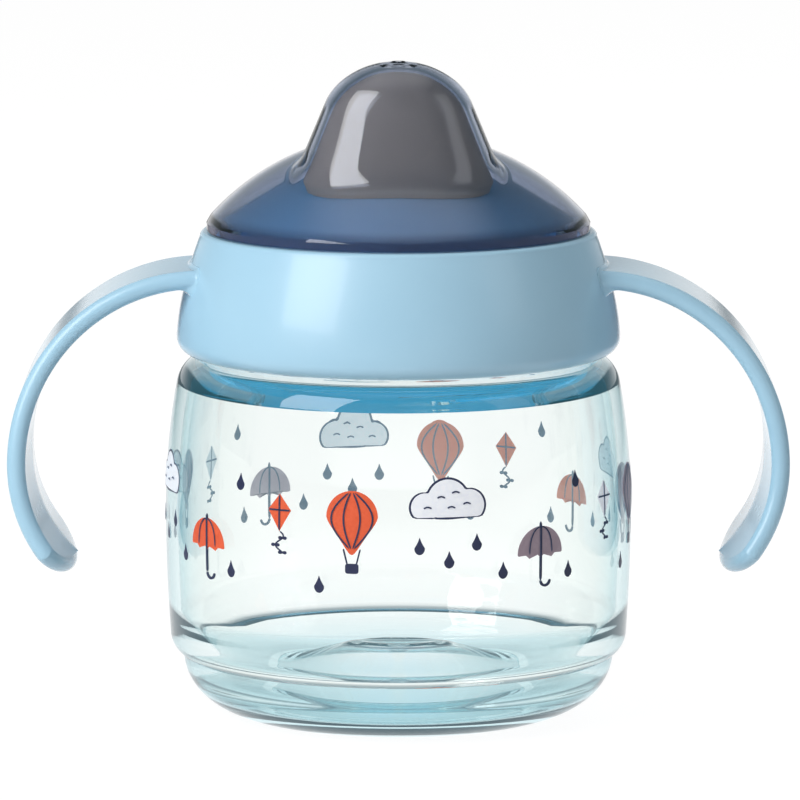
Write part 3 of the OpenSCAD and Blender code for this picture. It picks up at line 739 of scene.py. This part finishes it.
handle_x = collar_high.x - HANDLE_T / 2 - HANDLE_R
handle_z = collar_z + HANDLE_RISE - HANDLE_R
hook_x = handle_x + HANDLE_R - HOOK_R
arc_length = HANDLE_R * pi / 2
path_end = arc_length + HOOK_R * HOOK_END + HANDLE_T / 2
nose_r = HANDLE_T / 2 / sin(NOSE_TURN)
tip_low = handle_z - HOOK_R * sin(HOOK_END) - HANDLE_T
root_top = handle_z + HANDLE_R + HANDLE_T

flat = [i / FLAT_STEPS for i in range(-FLAT_STEPS, FLAT_STEPS + 1)]
nose = [NOSE_TURN * (1 - i / NOSE_STEPS) for i in range(1, 2 * NOSE_STEPS)]
section = ([(c, NOSE_TURN) for c in flat] + [(1, a) for a in nose]
           + [(-c, -NOSE_TURN) for c in flat] + [(-1, -a) for a in nose] + [(-1, NOSE_TURN)])
print("handle path", round(path_end, 1), "mm long,", len(section), "points round")


# %% Handle points
def handle_path(length):
    """Point and outward direction of the handle's middle line, in X and Z."""
    if length < arc_length:
        turn, x, r = pi / 2 - length / HANDLE_R, handle_x, HANDLE_R
    else:
        turn, x, r = -(length - arc_length) / HOOK_R, hook_x, HOOK_R
    return Vector((x + r * cos(turn), handle_z + r * sin(turn))), Vector((cos(turn), sin(turn)))


def handle_half(length, inset):
    """Half the band's width at a length along the path, for an outline moved inward."""
    z = handle_path(length)[0].y
    half = lerp(HANDLE_W, PADDLE_W, (root_top - z) / (root_top - tip_low)) / 2 - inset
    share = (length - path_end + TIP_L) / (TIP_L - inset)
    if share > 0:
        half = min(half, (PADDLE_W / 2 - inset) * sqrt(max(0, 1 - share * share)))
    return half


def handle_point(column, row, side):
    """A point of the band: its place in the section, its row, and 1 or -1 for right or left."""
    across, tilt = section[column]
    inset = nose_r * (1 - cos(tilt))
    lift = nose_r * sin(tilt)
    root_y = across * handle_half(0, inset)
    sunk_r = collar_r(handle_z + HANDLE_R) - ROOT_SUNK
    root_turn = acos((sqrt(sunk_r ** 2 - root_y ** 2) - handle_x) / HANDLE_R)
    start = HANDLE_R * (pi / 2 - root_turn)
    length = lerp(start, path_end - inset, (1 - cos(pi * row / HANDLE_ROWS)) / 2)
    middle, outward = handle_path(length)
    y = across * handle_half(length, inset)
    if tilt == -NOSE_TURN:
        past = (length - RIDGE_FROM * arc_length) / ((1 - RIDGE_FROM) * arc_length)
        hook_share = min(max(past, 0), 1)
        lift -= INNER_RIDGE * (1 - abs(across)) * hook_share
    spot = middle + outward * lift
    gap = sqrt(spot.x ** 2 + y ** 2) - collar_r(spot.y)
    fillet = lerp(FILLET_SIDE, FILLET_OVER if tilt > 0 else FILLET_UNDER, sin(tilt) ** 4)
    push = fillet - sqrt(max(0, fillet ** 2 - max(0, fillet - max(gap, 0)) ** 2))
    spot += outward * push * sin(tilt)
    y += push * cos(tilt) * across
    return side * spot.x, y, spot.y


print("handle tip at", [round(v, 1) for v in handle_path(path_end)[0]], "mm in X and Z")

# %% Handles
handles = []
for side, name in ((1, "right"), (-1, "left")):
    handle = wrapped(name + "_handle", len(section) - 1, HANDLE_ROWS,
                     lambda column, row: handle_point(column, row, side))
    close_ends(handle)
    handles.append(handle)
    print(handle.name, len(handle.data.polygons), "faces")
thread = ridge("collar_thread", skirt_bore, neck_r + THREAD_GAP, neck_z + THREAD_START - thread_drop)
joined(collar, thread, *handles)
finished(collar, blue_plastic, "collar", "blue_plastic", "handled_collar", angle=14)

# %% Inside of the collar
# These inner faces take the painted glow of the deeper blue.
NEAR_BORE, UNDER_LEDGE, FACING_OUT = 0.5, 1, 0.2


def in_bore(middle, normal):
    """True for the collar's inner faces below its ledge."""
    return (middle.xy.length < skirt_bore + NEAR_BORE and middle.z < top_z - UNDER_LEDGE
            and middle.xy.dot(normal.xy) < FACING_OUT)


inside_faces(collar, painted_glow_blue, in_bore)
print("collar finishes:", [m.name for m in collar.data.materials])

# %% [markdown]
# ## The cap
# The cap is a see-through shell: an upright rim, a dome and a hump over the spout. Dome and hump
# could be two pieces united by a Boolean, but the seam would show in clear plastic. Its rings go
# from round to a squared oval instead, in one grid: columns go round, and rows go up the outside
# and down again along the inside, one wall further in.

# %% Cap shape
CAP_WALL, RIM_H, EDGE_W, EDGE_H, DOME_GAP = 1.2, 1.2, 0.7, 0.4, 3.35
ROOF_H, ROOF_R = 9.4, 16.5
SPOUT_FWD, SPOUT_LEAN = 12.0, 1.0
HUMP_A, HUMP_B, HUMP_FLARE, FLARE_SHARE = 16.9, 10.5, 1.2, 0.2
HUMP_TAPER, HUMP_SHOULDER, HUMP_ROUND, HUMP_SQUARE = 0.46, 0.64, 2.2, 2.1
MARK_R, MARK_D = 1.1, 0.25
ROUND = 128

roof_z = top_z + ROOF_H
edge_z = cap_z + RIM_H + EDGE_H
over_z = roof_z + DOME_GAP
dome_z = (cap_r ** 2 + edge_z ** 2 - ROOF_R ** 2 - over_z ** 2) / (2 * (edge_z - over_z))
dome_r = sqrt(cap_r ** 2 + (edge_z - dome_z) ** 2)
print("dome radius", round(dome_r, 1), "mm")


# %% Cap points
def power(value, exponent):
    return abs(value) ** exponent * (1 if value > 0 else -1)


def hump_plan(share, turn, inward, flared):
    """The hump's outline from above: share of its height, angle, and how far inside the skin."""
    late = min(max((share - HUMP_SHOULDER) / (1 - HUMP_SHOULDER), 0), 1)
    scale = (1 - HUMP_TAPER * share) * (1 - late ** HUMP_ROUND) ** (1 / HUMP_ROUND)
    flare = HUMP_FLARE * max(0, 1 - share / FLARE_SHARE) ** 2 if flared else 0
    x = ((HUMP_A - inward) * scale + flare) * power(cos(turn), 2 / HUMP_SQUARE)
    y = ((HUMP_B - inward) * scale + flare) * power(sin(turn), 2 / HUMP_SQUARE)
    return Vector((x, y - SPOUT_FWD - SPOUT_LEAN * share))


def dome_height(spot, inward):
    return dome_z + sqrt((dome_r - inward) ** 2 - spot.length_squared)


def hump_point(share, turn, inward, flared, top):
    spot = hump_plan(share, turn, inward, flared)
    base = dome_height(hump_plan(0, turn, inward, flared), inward)
    return (*spot, lerp(base, top, share))


def circle_point(r, turn, z):
    return (r * cos(turn), r * sin(turn), z)


def mark_point(r, turn, z):
    return (r * cos(turn), r * sin(turn) - SPOUT_FWD - SPOUT_LEAN, z)


print("dome over the axis at", round(dome_height(Vector((0, 0)), 0), 1), "mm")

# %% Cap rows
DOME_ROWS, HUMP_ROWS = 20, 44
TOP_SHARE = 0.985


def dome_point(share, turn, inward):
    r = cap_r - inward - EDGE_W
    spot = Vector((r * cos(turn), r * sin(turn))).lerp(hump_plan(0, turn, inward, True), share)
    return (*spot, dome_height(spot, inward))


def skin_rows(inward):
    """One skin of the cap from its rim to its top, as functions of the angle."""
    r = cap_r - inward
    shares = [TOP_SHARE * sin(pi / 2 * i / HUMP_ROWS) for i in range(1, HUMP_ROWS + 1)]
    return ([lambda turn: circle_point(r, turn, cap_z),
             lambda turn: circle_point(r, turn, cap_z + RIM_H)]
            + [lambda turn, i=i: dome_point(i / DOME_ROWS, turn, inward) for i in range(DOME_ROWS + 1)]
            + [lambda turn, w=w: hump_point(w, turn, inward, True, hump_z - inward) for w in shares])


mark = [(0, 0), (MARK_R / 2, 0), (MARK_R / 2, -MARK_D), (MARK_R, -MARK_D), (MARK_R, 0)]
rows = ([lambda turn, r=r, z=z: mark_point(r, turn, hump_z + z) for r, z in mark]
        + skin_rows(0)[::-1] + skin_rows(CAP_WALL)
        + [lambda turn: mark_point(0, turn, hump_z - CAP_WALL)])
cap = wrapped("cap_smoky", ROUND, len(rows) - 1,
              lambda column, row: rows[row](tau * column / ROUND))
finished(cap, smoky_plastic, "cap", "smoky_plastic", "travel_cap", angle=30)

# %% [markdown]
# ## The lid insert
# The lid closes the tumbler under the collar and carries the spout. It is turned like the collar,
# and its sharp rings are then bevelled all at once, which is quicker than rounding each corner of
# the outline. The drink runs up from a socket for the valve through an oval boss. So a slot is cut
# out of the cone with a Boolean modifier, and the boss and the socket are added as rings.

# %% Lid measures
SEAT_GAP, SEAL_T, FLANGE_T, LID_WALL = 0.1, 1.4, 1.8, 1.6
FLANGE_OVER, PLUG_H, PLUG_GAP, RISER_OVER, RISER_UP = 0.2, 4.0, 0.4, 0.2, 1.7
BOSS_H, BOSS_CUT, BOSS_ROOT, CHANNEL_R, CHANNEL_LEDGE = 4.0, 0.4, 0.2, 3.4, 1.0
SOCKET_R, SOCKET_H, SOCKET_WALL, SOCKET_ROOF = 8.2, 9.0, 1.4, 0.8
VENT_BACK, VENT_STEM, VENT_R, AIR_R = 8.5, 1.4, 4.8, 0.7
EDGE_BEVEL = 0.35

flange_z = rim_z + SEAT_GAP + SEAL_T
riser_r, cone_z = bore_r + RISER_OVER, top_z + RISER_UP
cone_slope = (roof_z - cone_z) / (riser_r - ROOF_R)
cone_stretch = sqrt(1 + cone_slope ** 2)
plug_r = bore_r - PLUG_GAP
plug_in = plug_r - LID_WALL


def lid_skin(r):
    """Height of the lid's top at radius r."""
    return roof_z - cone_slope * max(0, r - ROOF_R)


chamber_z = lid_skin(SPOUT_FWD + SOCKET_R) - LID_WALL * cone_stretch - SEAT_GAP
channel_x = SOCKET_R - CHANNEL_R - CHANNEL_LEDGE
boss_r = CHANNEL_R + LID_WALL
boss_z = roof_z + BOSS_H
print("roof height", round(roof_z, 2), "boss height", round(boss_z, 2))


# %% Bevelling and hole helpers
def bevelled(piece, width, sharpness=25):
    """Rounds all edges that are sharper than an angle in degrees."""
    edit_mode(piece)
    bpy.ops.mesh.select_all(action="DESELECT")
    bpy.ops.mesh.edges_select_sharp(sharpness=radians(sharpness))
    bpy.ops.mesh.bevel(offset=width * MM, segments=3, affect="EDGES")
    clean(piece)


def pin(r, x, y, low_end, high_end):
    """A plain cylinder for cutting a hole."""
    bpy.ops.object.select_all(action="DESELECT")
    bpy.ops.mesh.primitive_cylinder_add(vertices=32, radius=r * MM, depth=(high_end - low_end) * MM,
                                        location=Vector((x, y, (low_end + high_end) / 2)) * MM)
    bpy.ops.object.transform_apply()
    return bpy.context.object


def slot_plan(r, turn):
    """The oval of the drink's channel from above, r from its middle line."""
    return (channel_x * (1 if cos(turn) > 0 else -1) + r * cos(turn), r * sin(turn) - SPOUT_FWD)


def slotted(name, outline):
    """An outline of (radius, height) taken round the oval of the drink's channel."""
    return wrapped(name, ROUND, len(outline) - 1, lambda column, row: (
        *slot_plan(outline[row][0], tau * (column + 0.5) / ROUND), outline[row][1]))


print("channel reaches", round(slot_plan(CHANNEL_R, 0)[0], 2), "mm to each side")

# %% Lid
outline = [(0, roof_z), (ROOF_R, roof_z), (riser_r, cone_z), (riser_r, flange_z + FLANGE_T),
           (neck_r + FLANGE_OVER, flange_z + FLANGE_T), (neck_r + FLANGE_OVER, flange_z),
           (plug_r, flange_z), (plug_r, flange_z - PLUG_H), (plug_in, flange_z - PLUG_H),
           (plug_in, lid_skin(plug_in) - LID_WALL * cone_stretch),
           (ROOF_R - LID_WALL / 2, roof_z - LID_WALL), (0, roof_z - LID_WALL)]
lid = turned("lid_blue", outline, 128)
bevelled(lid, EDGE_BEVEL)
cut_r, cut_z = boss_r - BOSS_ROOT, chamber_z - LID_WALL
combined(lid, slotted("cutter", [(0, cut_z), (cut_r, cut_z), (cut_r, boss_z), (0, boss_z)]))
air_x = (VENT_STEM + VENT_R) / 2
for x, r in ((0, VENT_STEM + SEAT_GAP), (air_x, AIR_R), (-air_x, AIR_R)):
    combined(lid, pin(r, x, VENT_BACK, roof_z - 2 * LID_WALL, roof_z + LID_WALL))
print(lid.name, len(lid.data.polygons), "faces")

# %% Boss and socket
outline = [(boss_r, chamber_z), (boss_r, boss_z - BOSS_CUT), (boss_r - BOSS_CUT, boss_z),
           (CHANNEL_R + BOSS_CUT, boss_z), (CHANNEL_R, boss_z - BOSS_CUT),
           (CHANNEL_R, chamber_z), (boss_r, chamber_z)]
boss = slotted("boss", outline)
socket_in, socket_out = CHANNEL_R + channel_x, SOCKET_R + SOCKET_WALL
outline = [(socket_in, chamber_z), (socket_in, chamber_z + SOCKET_ROOF),
           (socket_out, chamber_z + SOCKET_ROOF), (socket_out, chamber_z - SOCKET_H),
           (SOCKET_R, chamber_z - SOCKET_H), (SOCKET_R, chamber_z), (socket_in, chamber_z)]
socket = turned("socket", outline, 96)
edit_mode(socket)
bpy.ops.transform.translate(value=(0, -SPOUT_FWD * MM, 0))
object_mode()
joined(lid, boss, socket)
finished(lid, lid_plastic, "lid", "lid_plastic", "spout_lid")

# %% Underside of the lid
# These faces take the painted glow of the deeper blue.
UNDER_SKIN, FACING_DOWN, NEAR_PLUG = 1, -0.2, 0.1


def under_lid(middle, normal):
    """True for the faces that look down, and for those inside the plug."""
    return (middle.z < lid_skin(middle.xy.length) - UNDER_SKIN
            and (normal.z < FACING_DOWN or middle.xy.length < plug_in + NEAR_PLUG))


inside_faces(lid, painted_glow_blue, under_lid)
print("lid finishes:", [m.name for m in lid.data.materials])

# %% [markdown]
# ## The soft spout
# The child drinks from a soft oval spout. It follows the inside of the cap's hump with a small gap,
# so the hump's own functions shape it, which is surer than fitting a second form by eye. Its rows
# start at the tip, run down the outside to the lid, back in under the foot, and up again inside
# over the boss. The three drinking holes are cut last.

# %% Soft spout
SPOUT_GAP, TIP_GAP, SPOUT_WALL, FOOT_TUCK = 0.45, 0.5, 1.8, 1.2
HOLLOW_SHARE, SIP_R, SIP_STEP = 0.36, 0.4, 3.2
UNDER_ROWS, HOLLOW_ROWS, HALVINGS = 6, 20, 30
spout_in = CAP_WALL + SPOUT_GAP
tip_z = hump_z - CAP_WALL - TIP_GAP


def rest_height(spot):
    """Height just above the lid at a spot."""
    return lid_skin(spot.length) + SEAT_GAP * cone_stretch


def foot_spot(turn):
    """Where the spout's tucked foot meets the lid."""
    high = Vector(hump_point(0, turn, spout_in, False, tip_z))
    low = Vector((*hump_plan(0, turn, spout_in + FOOT_TUCK, False), chamber_z))
    near, far = 0.0, 1.0
    for _ in range(HALVINGS):
        share = (near + far) / 2
        spot = high.lerp(low, share)
        if spot.z > rest_height(spot.xy):
            near = share
        else:
            far = share
    return spot


def under_foot(turn, share):
    """From the foot, share 0, in to the boss, share 1."""
    spot = foot_spot(turn).xy.lerp(Vector(slot_plan(boss_r + SEAT_GAP, turn)), share)
    return (*spot, rest_height(spot))


shares = [TOP_SHARE * sin(pi / 2 * i / HUMP_ROWS) for i in range(HUMP_ROWS, -1, -1)]
hollows = [lerp(HOLLOW_SHARE, TOP_SHARE, sin(pi / 2 * i / HOLLOW_ROWS)) for i in range(HOLLOW_ROWS + 1)]
hollow_in, hollow_z = spout_in + SPOUT_WALL, tip_z - SPOUT_WALL
rows = ([lambda turn: mark_point(0, turn, tip_z)]
        + [lambda turn, w=w: hump_point(w, turn, spout_in, False, tip_z) for w in shares]
        + [lambda turn, i=i: under_foot(turn, i / UNDER_ROWS) for i in range(UNDER_ROWS + 1)]
        + [lambda turn: (*slot_plan(boss_r + SEAT_GAP, turn), boss_z + SEAT_GAP)]
        + [lambda turn, w=w: hump_point(w, turn, hollow_in, False, hollow_z) for w in hollows]
        + [lambda turn: mark_point(0, turn, hollow_z)])
spout = wrapped("spout_soft", ROUND, len(rows) - 1,
                lambda column, row: rows[row](tau * (column + 0.5) / ROUND))
for i in (-1, 0, 1):
    combined(spout, pin(SIP_R, i * SIP_STEP, -SPOUT_FWD - SPOUT_LEAN,
                        tip_z - 3 * SPOUT_WALL, tip_z + SPOUT_WALL))
finished(spout, spout_silicone, "lid", "spout_silicone", "soft_spout", angle=40)

# %% [markdown]
# ## The print
# A weather pattern runs round the tumbler: balloons, clouds, umbrellas, kites and raindrops. A
# picture on the wall would need an image file, and it would look flat through clear plastic. So
# each shape is a disc of grid points, stretched to an outline and laid on the curved wall. Print on
# clear plastic often has a paler first coat under the ink, and that shows from inside the cup.

# %% Inks
SPECK_SCALE, INK_ROUGH, INK_SWING = 1400, 0.4, 0.1
COAT_GLOW, WHITE_COAT_GLOW = 0.45, 0.7


def ink(name, color, darker, glow=0.0):
    """Printing ink: two near tones in fine mottling, slightly glossy. glow is light from behind."""
    material, finish = new_finish(name)
    specks = finish.noise(SPECK_SCALE, 2)
    tone = finish.shades(specks, linear(*darker), linear(*color))
    surface = finish.node("BsdfPrincipled", None, {
        "Base Color": tone, "Roughness": INK_ROUGH + (specks - 0.5) * INK_SWING, "IOR": 1.45,
        "Emission Color": tone, "Emission Strength": glow})
    finish.node("OutputMaterial", None, {"Surface": surface})
    return material


INKS = {
    "navy": (ink("ink_navy", (44, 52, 86), (36, 44, 78)),
             ink("coat_navy", (84, 104, 128), (78, 98, 122), COAT_GLOW)),
    "orange": (ink("ink_orange", (226, 96, 58), (219, 88, 50), 0.12),
               ink("coat_orange", (214, 126, 98), (208, 120, 92), COAT_GLOW)),
    "lilac": (ink("ink_lilac", (170, 152, 164), (162, 144, 157)),
              ink("coat_lilac", (186, 172, 182), (180, 166, 176), COAT_GLOW)),
    "white": (ink("ink_white", (226, 229, 234), (219, 222, 228), 0.3),
              ink("coat_white", (208, 214, 220), (202, 208, 214), WHITE_COAT_GLOW)),
}
print("inks:", sorted(INKS))

# %% Laying shapes on the wall
INK_T, INK_GAP, LAYER_STEP = 0.04, 0.03, 1.6
UNDER, FILL, OVER = 0, 1, 3
sheets = {name: [] for name in INKS}


def on_wall(across, up, layer):
    """A spot of the print, across in millimetres round from the front, up from the table."""
    r = wall_r(up) + INK_GAP + INK_T * LAYER_STEP * layer
    return (r * sin(across / BODY_R), -r * cos(across / BODY_R), up)


def disc(color, place, outline, layer, columns=48, rows=5):
    """A filled shape. outline(turn) gives its edge round its own middle, place its middle."""
    def spot(column, row):
        x, y = outline(tau * column / columns)
        return on_wall(place[0] + x * row / rows, place[1] + y * row / rows, layer)
    sheets[color].append(wrapped("sheet", columns, rows, spot))


def ring(color, place, outline, width, layer, columns=96):
    """A contour round an outline."""
    def spot(column, row):
        x, y = outline(tau * column / columns)
        grow = width * row / sqrt(x * x + y * y)
        return on_wall(place[0] + x * (1 + grow), place[1] + y * (1 + grow), layer)
    sheets[color].append(wrapped("sheet", columns, 1, spot))


def line(color, place, path, width, layer, rows=24):
    """A line of even width along path(share), with round ends."""
    def spot(column, row):
        share = row / rows
        x, y = path(share)
        ahead, behind = path(min(share + 0.01, 1)), path(max(share - 0.01, 0))
        along = Vector((ahead[0] - behind[0], ahead[1] - behind[1])).normalized()
        half = width / 2 * sqrt(max(0, 1 - (2 * share - 1) ** 16)) * (column - 1)
        return on_wall(place[0] + x - along.y * half, place[1] + y + along.x * half, layer)
    sheets[color].append(wrapped("sheet", 2, rows, spot))


def both(draw, color, place, *shape):
    """A detail that shows from outside and from inside the cup."""
    for layer in (UNDER, OVER):
        draw(color, place, *shape, layer)


# %% Outlines
def drop(width, height):
    """A drop with a round top and a drawn-out foot."""
    def edge(turn):
        low = max(0, -sin(turn))
        return (width * cos(turn) * (1 - 0.55 * low ** 1.4),
                height * sin(turn) * (1 + 0.45 * low ** 2))
    return edge


def puffs(circles, floor_y):
    """Overlapping circles with a flat bottom."""
    def edge(turn):
        x, y = cos(turn), sin(turn)
        reach = 0.0
        for mid_x, mid_y, r in circles:
            along = x * mid_x + y * mid_y
            inside = r * r - mid_x ** 2 - mid_y ** 2 + along * along
            if inside > 0:
                reach = max(reach, along + sqrt(inside))
        if y * reach < floor_y:
            reach = floor_y / y
        return (x * reach, y * reach)
    return edge


def diamond(half_w, top, foot):
    """A kite's four corners."""
    def edge(turn):
        x, y = cos(turn), sin(turn)
        reach = 1 / (abs(x) / half_w + abs(y) / (top if y > 0 else foot))
        return (x * reach, y * reach)
    return edge


def dome_edge(r, scallops):
    """An umbrella's half disc with a scalloped hem."""
    def edge(turn):
        x, y = r * cos(turn), r * sin(turn)
        if y < 0:
            y = -0.16 * r * (1 - abs(sin(scallops * pi * (x / r + 1) / 2))) * (1 - (x / r) ** 8)
        return (x, y)
    return edge


# %% Motifs
FINE, DASH, LINE, CONTOUR, BOLD = 0.24, 0.26, 0.28, 0.36, 0.42
SEAMS, RIBS, BOWS = (0.95, 0.38, -0.38, -0.95), (-0.5, 0, 0.5), (0.3, 0.62, 0.94)
PUFFS = ((0, 0.8, 3.6), (-4, -0.4, 2.5), (3.8, -0.2, 2.8))
DASHES = ((-3.6, -0.6), (-1.2, 1.2), (1.4, 2.0), (3.4, 0.0), (0.6, -0.6))


def balloon(x, y, size, color):
    """An envelope with seams, two ropes and a basket."""
    disc(color, (x, y), drop(4.6 * size, 4.6 * size), FILL)
    for share in SEAMS:
        both(line, "navy", (x, y), lambda t: (
            4.4 * size * share * cos(pi * (0.5 - t) * 0.92) * (1 - 0.25 * t),
            size * lerp(4.3, -5.6, t)), LINE)
    for share in (-1, 1):
        both(line, "navy", (x, y), lambda t: (
            share * size * lerp(1.5, 0.8, t), size * lerp(-5.6, -8.4, t)), FINE)
    disc("navy", (x, y - 9.1 * size), lambda t: (
        1.2 * size * power(cos(t), 0.4), 0.9 * size * power(sin(t), 0.4)), FILL)


def cloud(x, y, size):
    """A white cloud with a contour and small dashes."""
    shape = puffs([[v * size for v in puff] for puff in PUFFS], -2.2 * size)
    ring("navy", (x, y), shape, CONTOUR, FILL)
    disc("white", (x, y), shape, FILL, 96)
    for dx, dy in DASHES:
        both(line, "navy", (x + dx * size, y + dy * size), lambda t: (
            size * lerp(-0.7, 0.7, t), 0.25 * size * sin(pi * t)), DASH)


def umbrella(x, y, size, color):
    """A canopy with ribs, a stem and a hooked handle."""
    disc(color, (x, y), dome_edge(5.2 * size, 4), FILL, 96)
    for share in RIBS:
        both(line, "navy", (x, y), lambda t: (
            5.2 * size * share * sin(pi / 2 * t), 5.1 * size * (1 - t ** 2)), FINE)
    both(line, "navy", (x, y), lambda t: (0, size * lerp(6.1, -5.2, t)), BOLD)
    both(line, "navy", (x, y), lambda t: (
        size * (1.1 - 1.1 * cos(pi * t)), size * (-5.1 - 1.1 * sin(pi * t))), BOLD)


def kite(x, y, size, color):
    """A kite with its cross, and a tail with bows."""
    def tail(t):
        return (1.2 * size * sin(2.4 * pi * t), size * lerp(-5.5, -11.5, t))
    disc(color, (x, y), diamond(3.4 * size, 4.2 * size, 5.6 * size), FILL)
    both(line, "navy", (x, y), lambda t: (0, size * lerp(4.0, -5.4, t)), LINE)
    both(line, "navy", (x, y), lambda t: (size * lerp(-3.2, 3.2, t), 0), LINE)
    line("navy", (x, y), tail, LINE, FILL)
    for share in BOWS:
        bow_x, bow_y = tail(share)
        disc("navy", (x + bow_x, y + bow_y), lambda t: (
            1.3 * size * cos(t) * abs(cos(t)), 0.75 * size * sin(t) * (0.35 + cos(t) ** 2)), FILL)


def raindrop(x, y, size):
    def edge(turn):
        high = max(0, sin(turn))
        return (0.9 * size * cos(turn) * (1 - 0.75 * high ** 1.3),
                1.1 * size * sin(turn) * (1 + 0.7 * high ** 2))
    disc("navy", (x, y), edge, FILL)


# %% Pattern round the cup
RAIN = ((3.4, 33.5), (8.2, 31.2), (12.8, 33.9), (17.4, 29.0), (32.5, 42.5), (30.5, 28.0), (47.5, 27.0))
quarter = BODY_R * pi / 2
for i in range(4):
    start = i * quarter
    color, other = ("lilac", "orange") if i % 2 else ("orange", "lilac")
    balloon(start - 7.5, 38.5, 0.92, color)
    cloud(start + 8, 40.5, 0.92)
    umbrella(start + 24.5, 31.5, 0.86, other)
    kite(start + 40.5, 39, 0.62, "white" if color == "orange" else "orange")
    for x, y in RAIN:
        raindrop(start + x, y, 0.95)
print({name: len(group) for name, group in sheets.items()}, "shapes")

# %% [markdown]
# ## Printed layers
# All shapes of one colour are printed at once, so they are joined into one layer. Ink has a
# thickness, and a loose sheet would have no inner side. A Solidify modifier gives it both, with the
# ink outside and the first coat inside.

# %% Printed layers
for name, group in sheets.items():
    layer = joined(*group)
    layer.name = layer.data.name = "print_" + name
    modifier = layer.modifiers.new("thickness", "SOLIDIFY")
    modifier.thickness = INK_T * MM
    modifier.offset = 1
    modifier.material_offset = modifier.material_offset_rim = 1
    layer.data.materials.append(INKS[name][0])
    layer.data.materials.append(INKS[name][1])
    bpy.context.view_layer.objects.active = layer
    bpy.ops.object.modifier_apply(modifier=modifier.name)
    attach(layer, "tumbler")
    print(layer.name, len(layer.data.polygons), "faces")

# %% [markdown]
# ## Hidden pieces
# The seal, the drinking valve and the vent sit inside the cup, where little of them shows. They
# could be modelled again, but their imported solids are good enough, so they only get a finish.
# The last line sets the Standard view transform.

# %% Hidden pieces
HIDDEN = {"seal_ring": seal_silicone, "valve_membrane": seal_silicone,
          "vent_valve": seal_silicone, "valve_holder": valve_plastic}
for name, material in HIDDEN.items():
    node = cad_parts[name]
    node.data.materials.clear()
    node.data.materials.append(material)
print("finished as packed:", sorted(HIDDEN))

bpy.context.scene.view_settings.view_transform = "Standard"
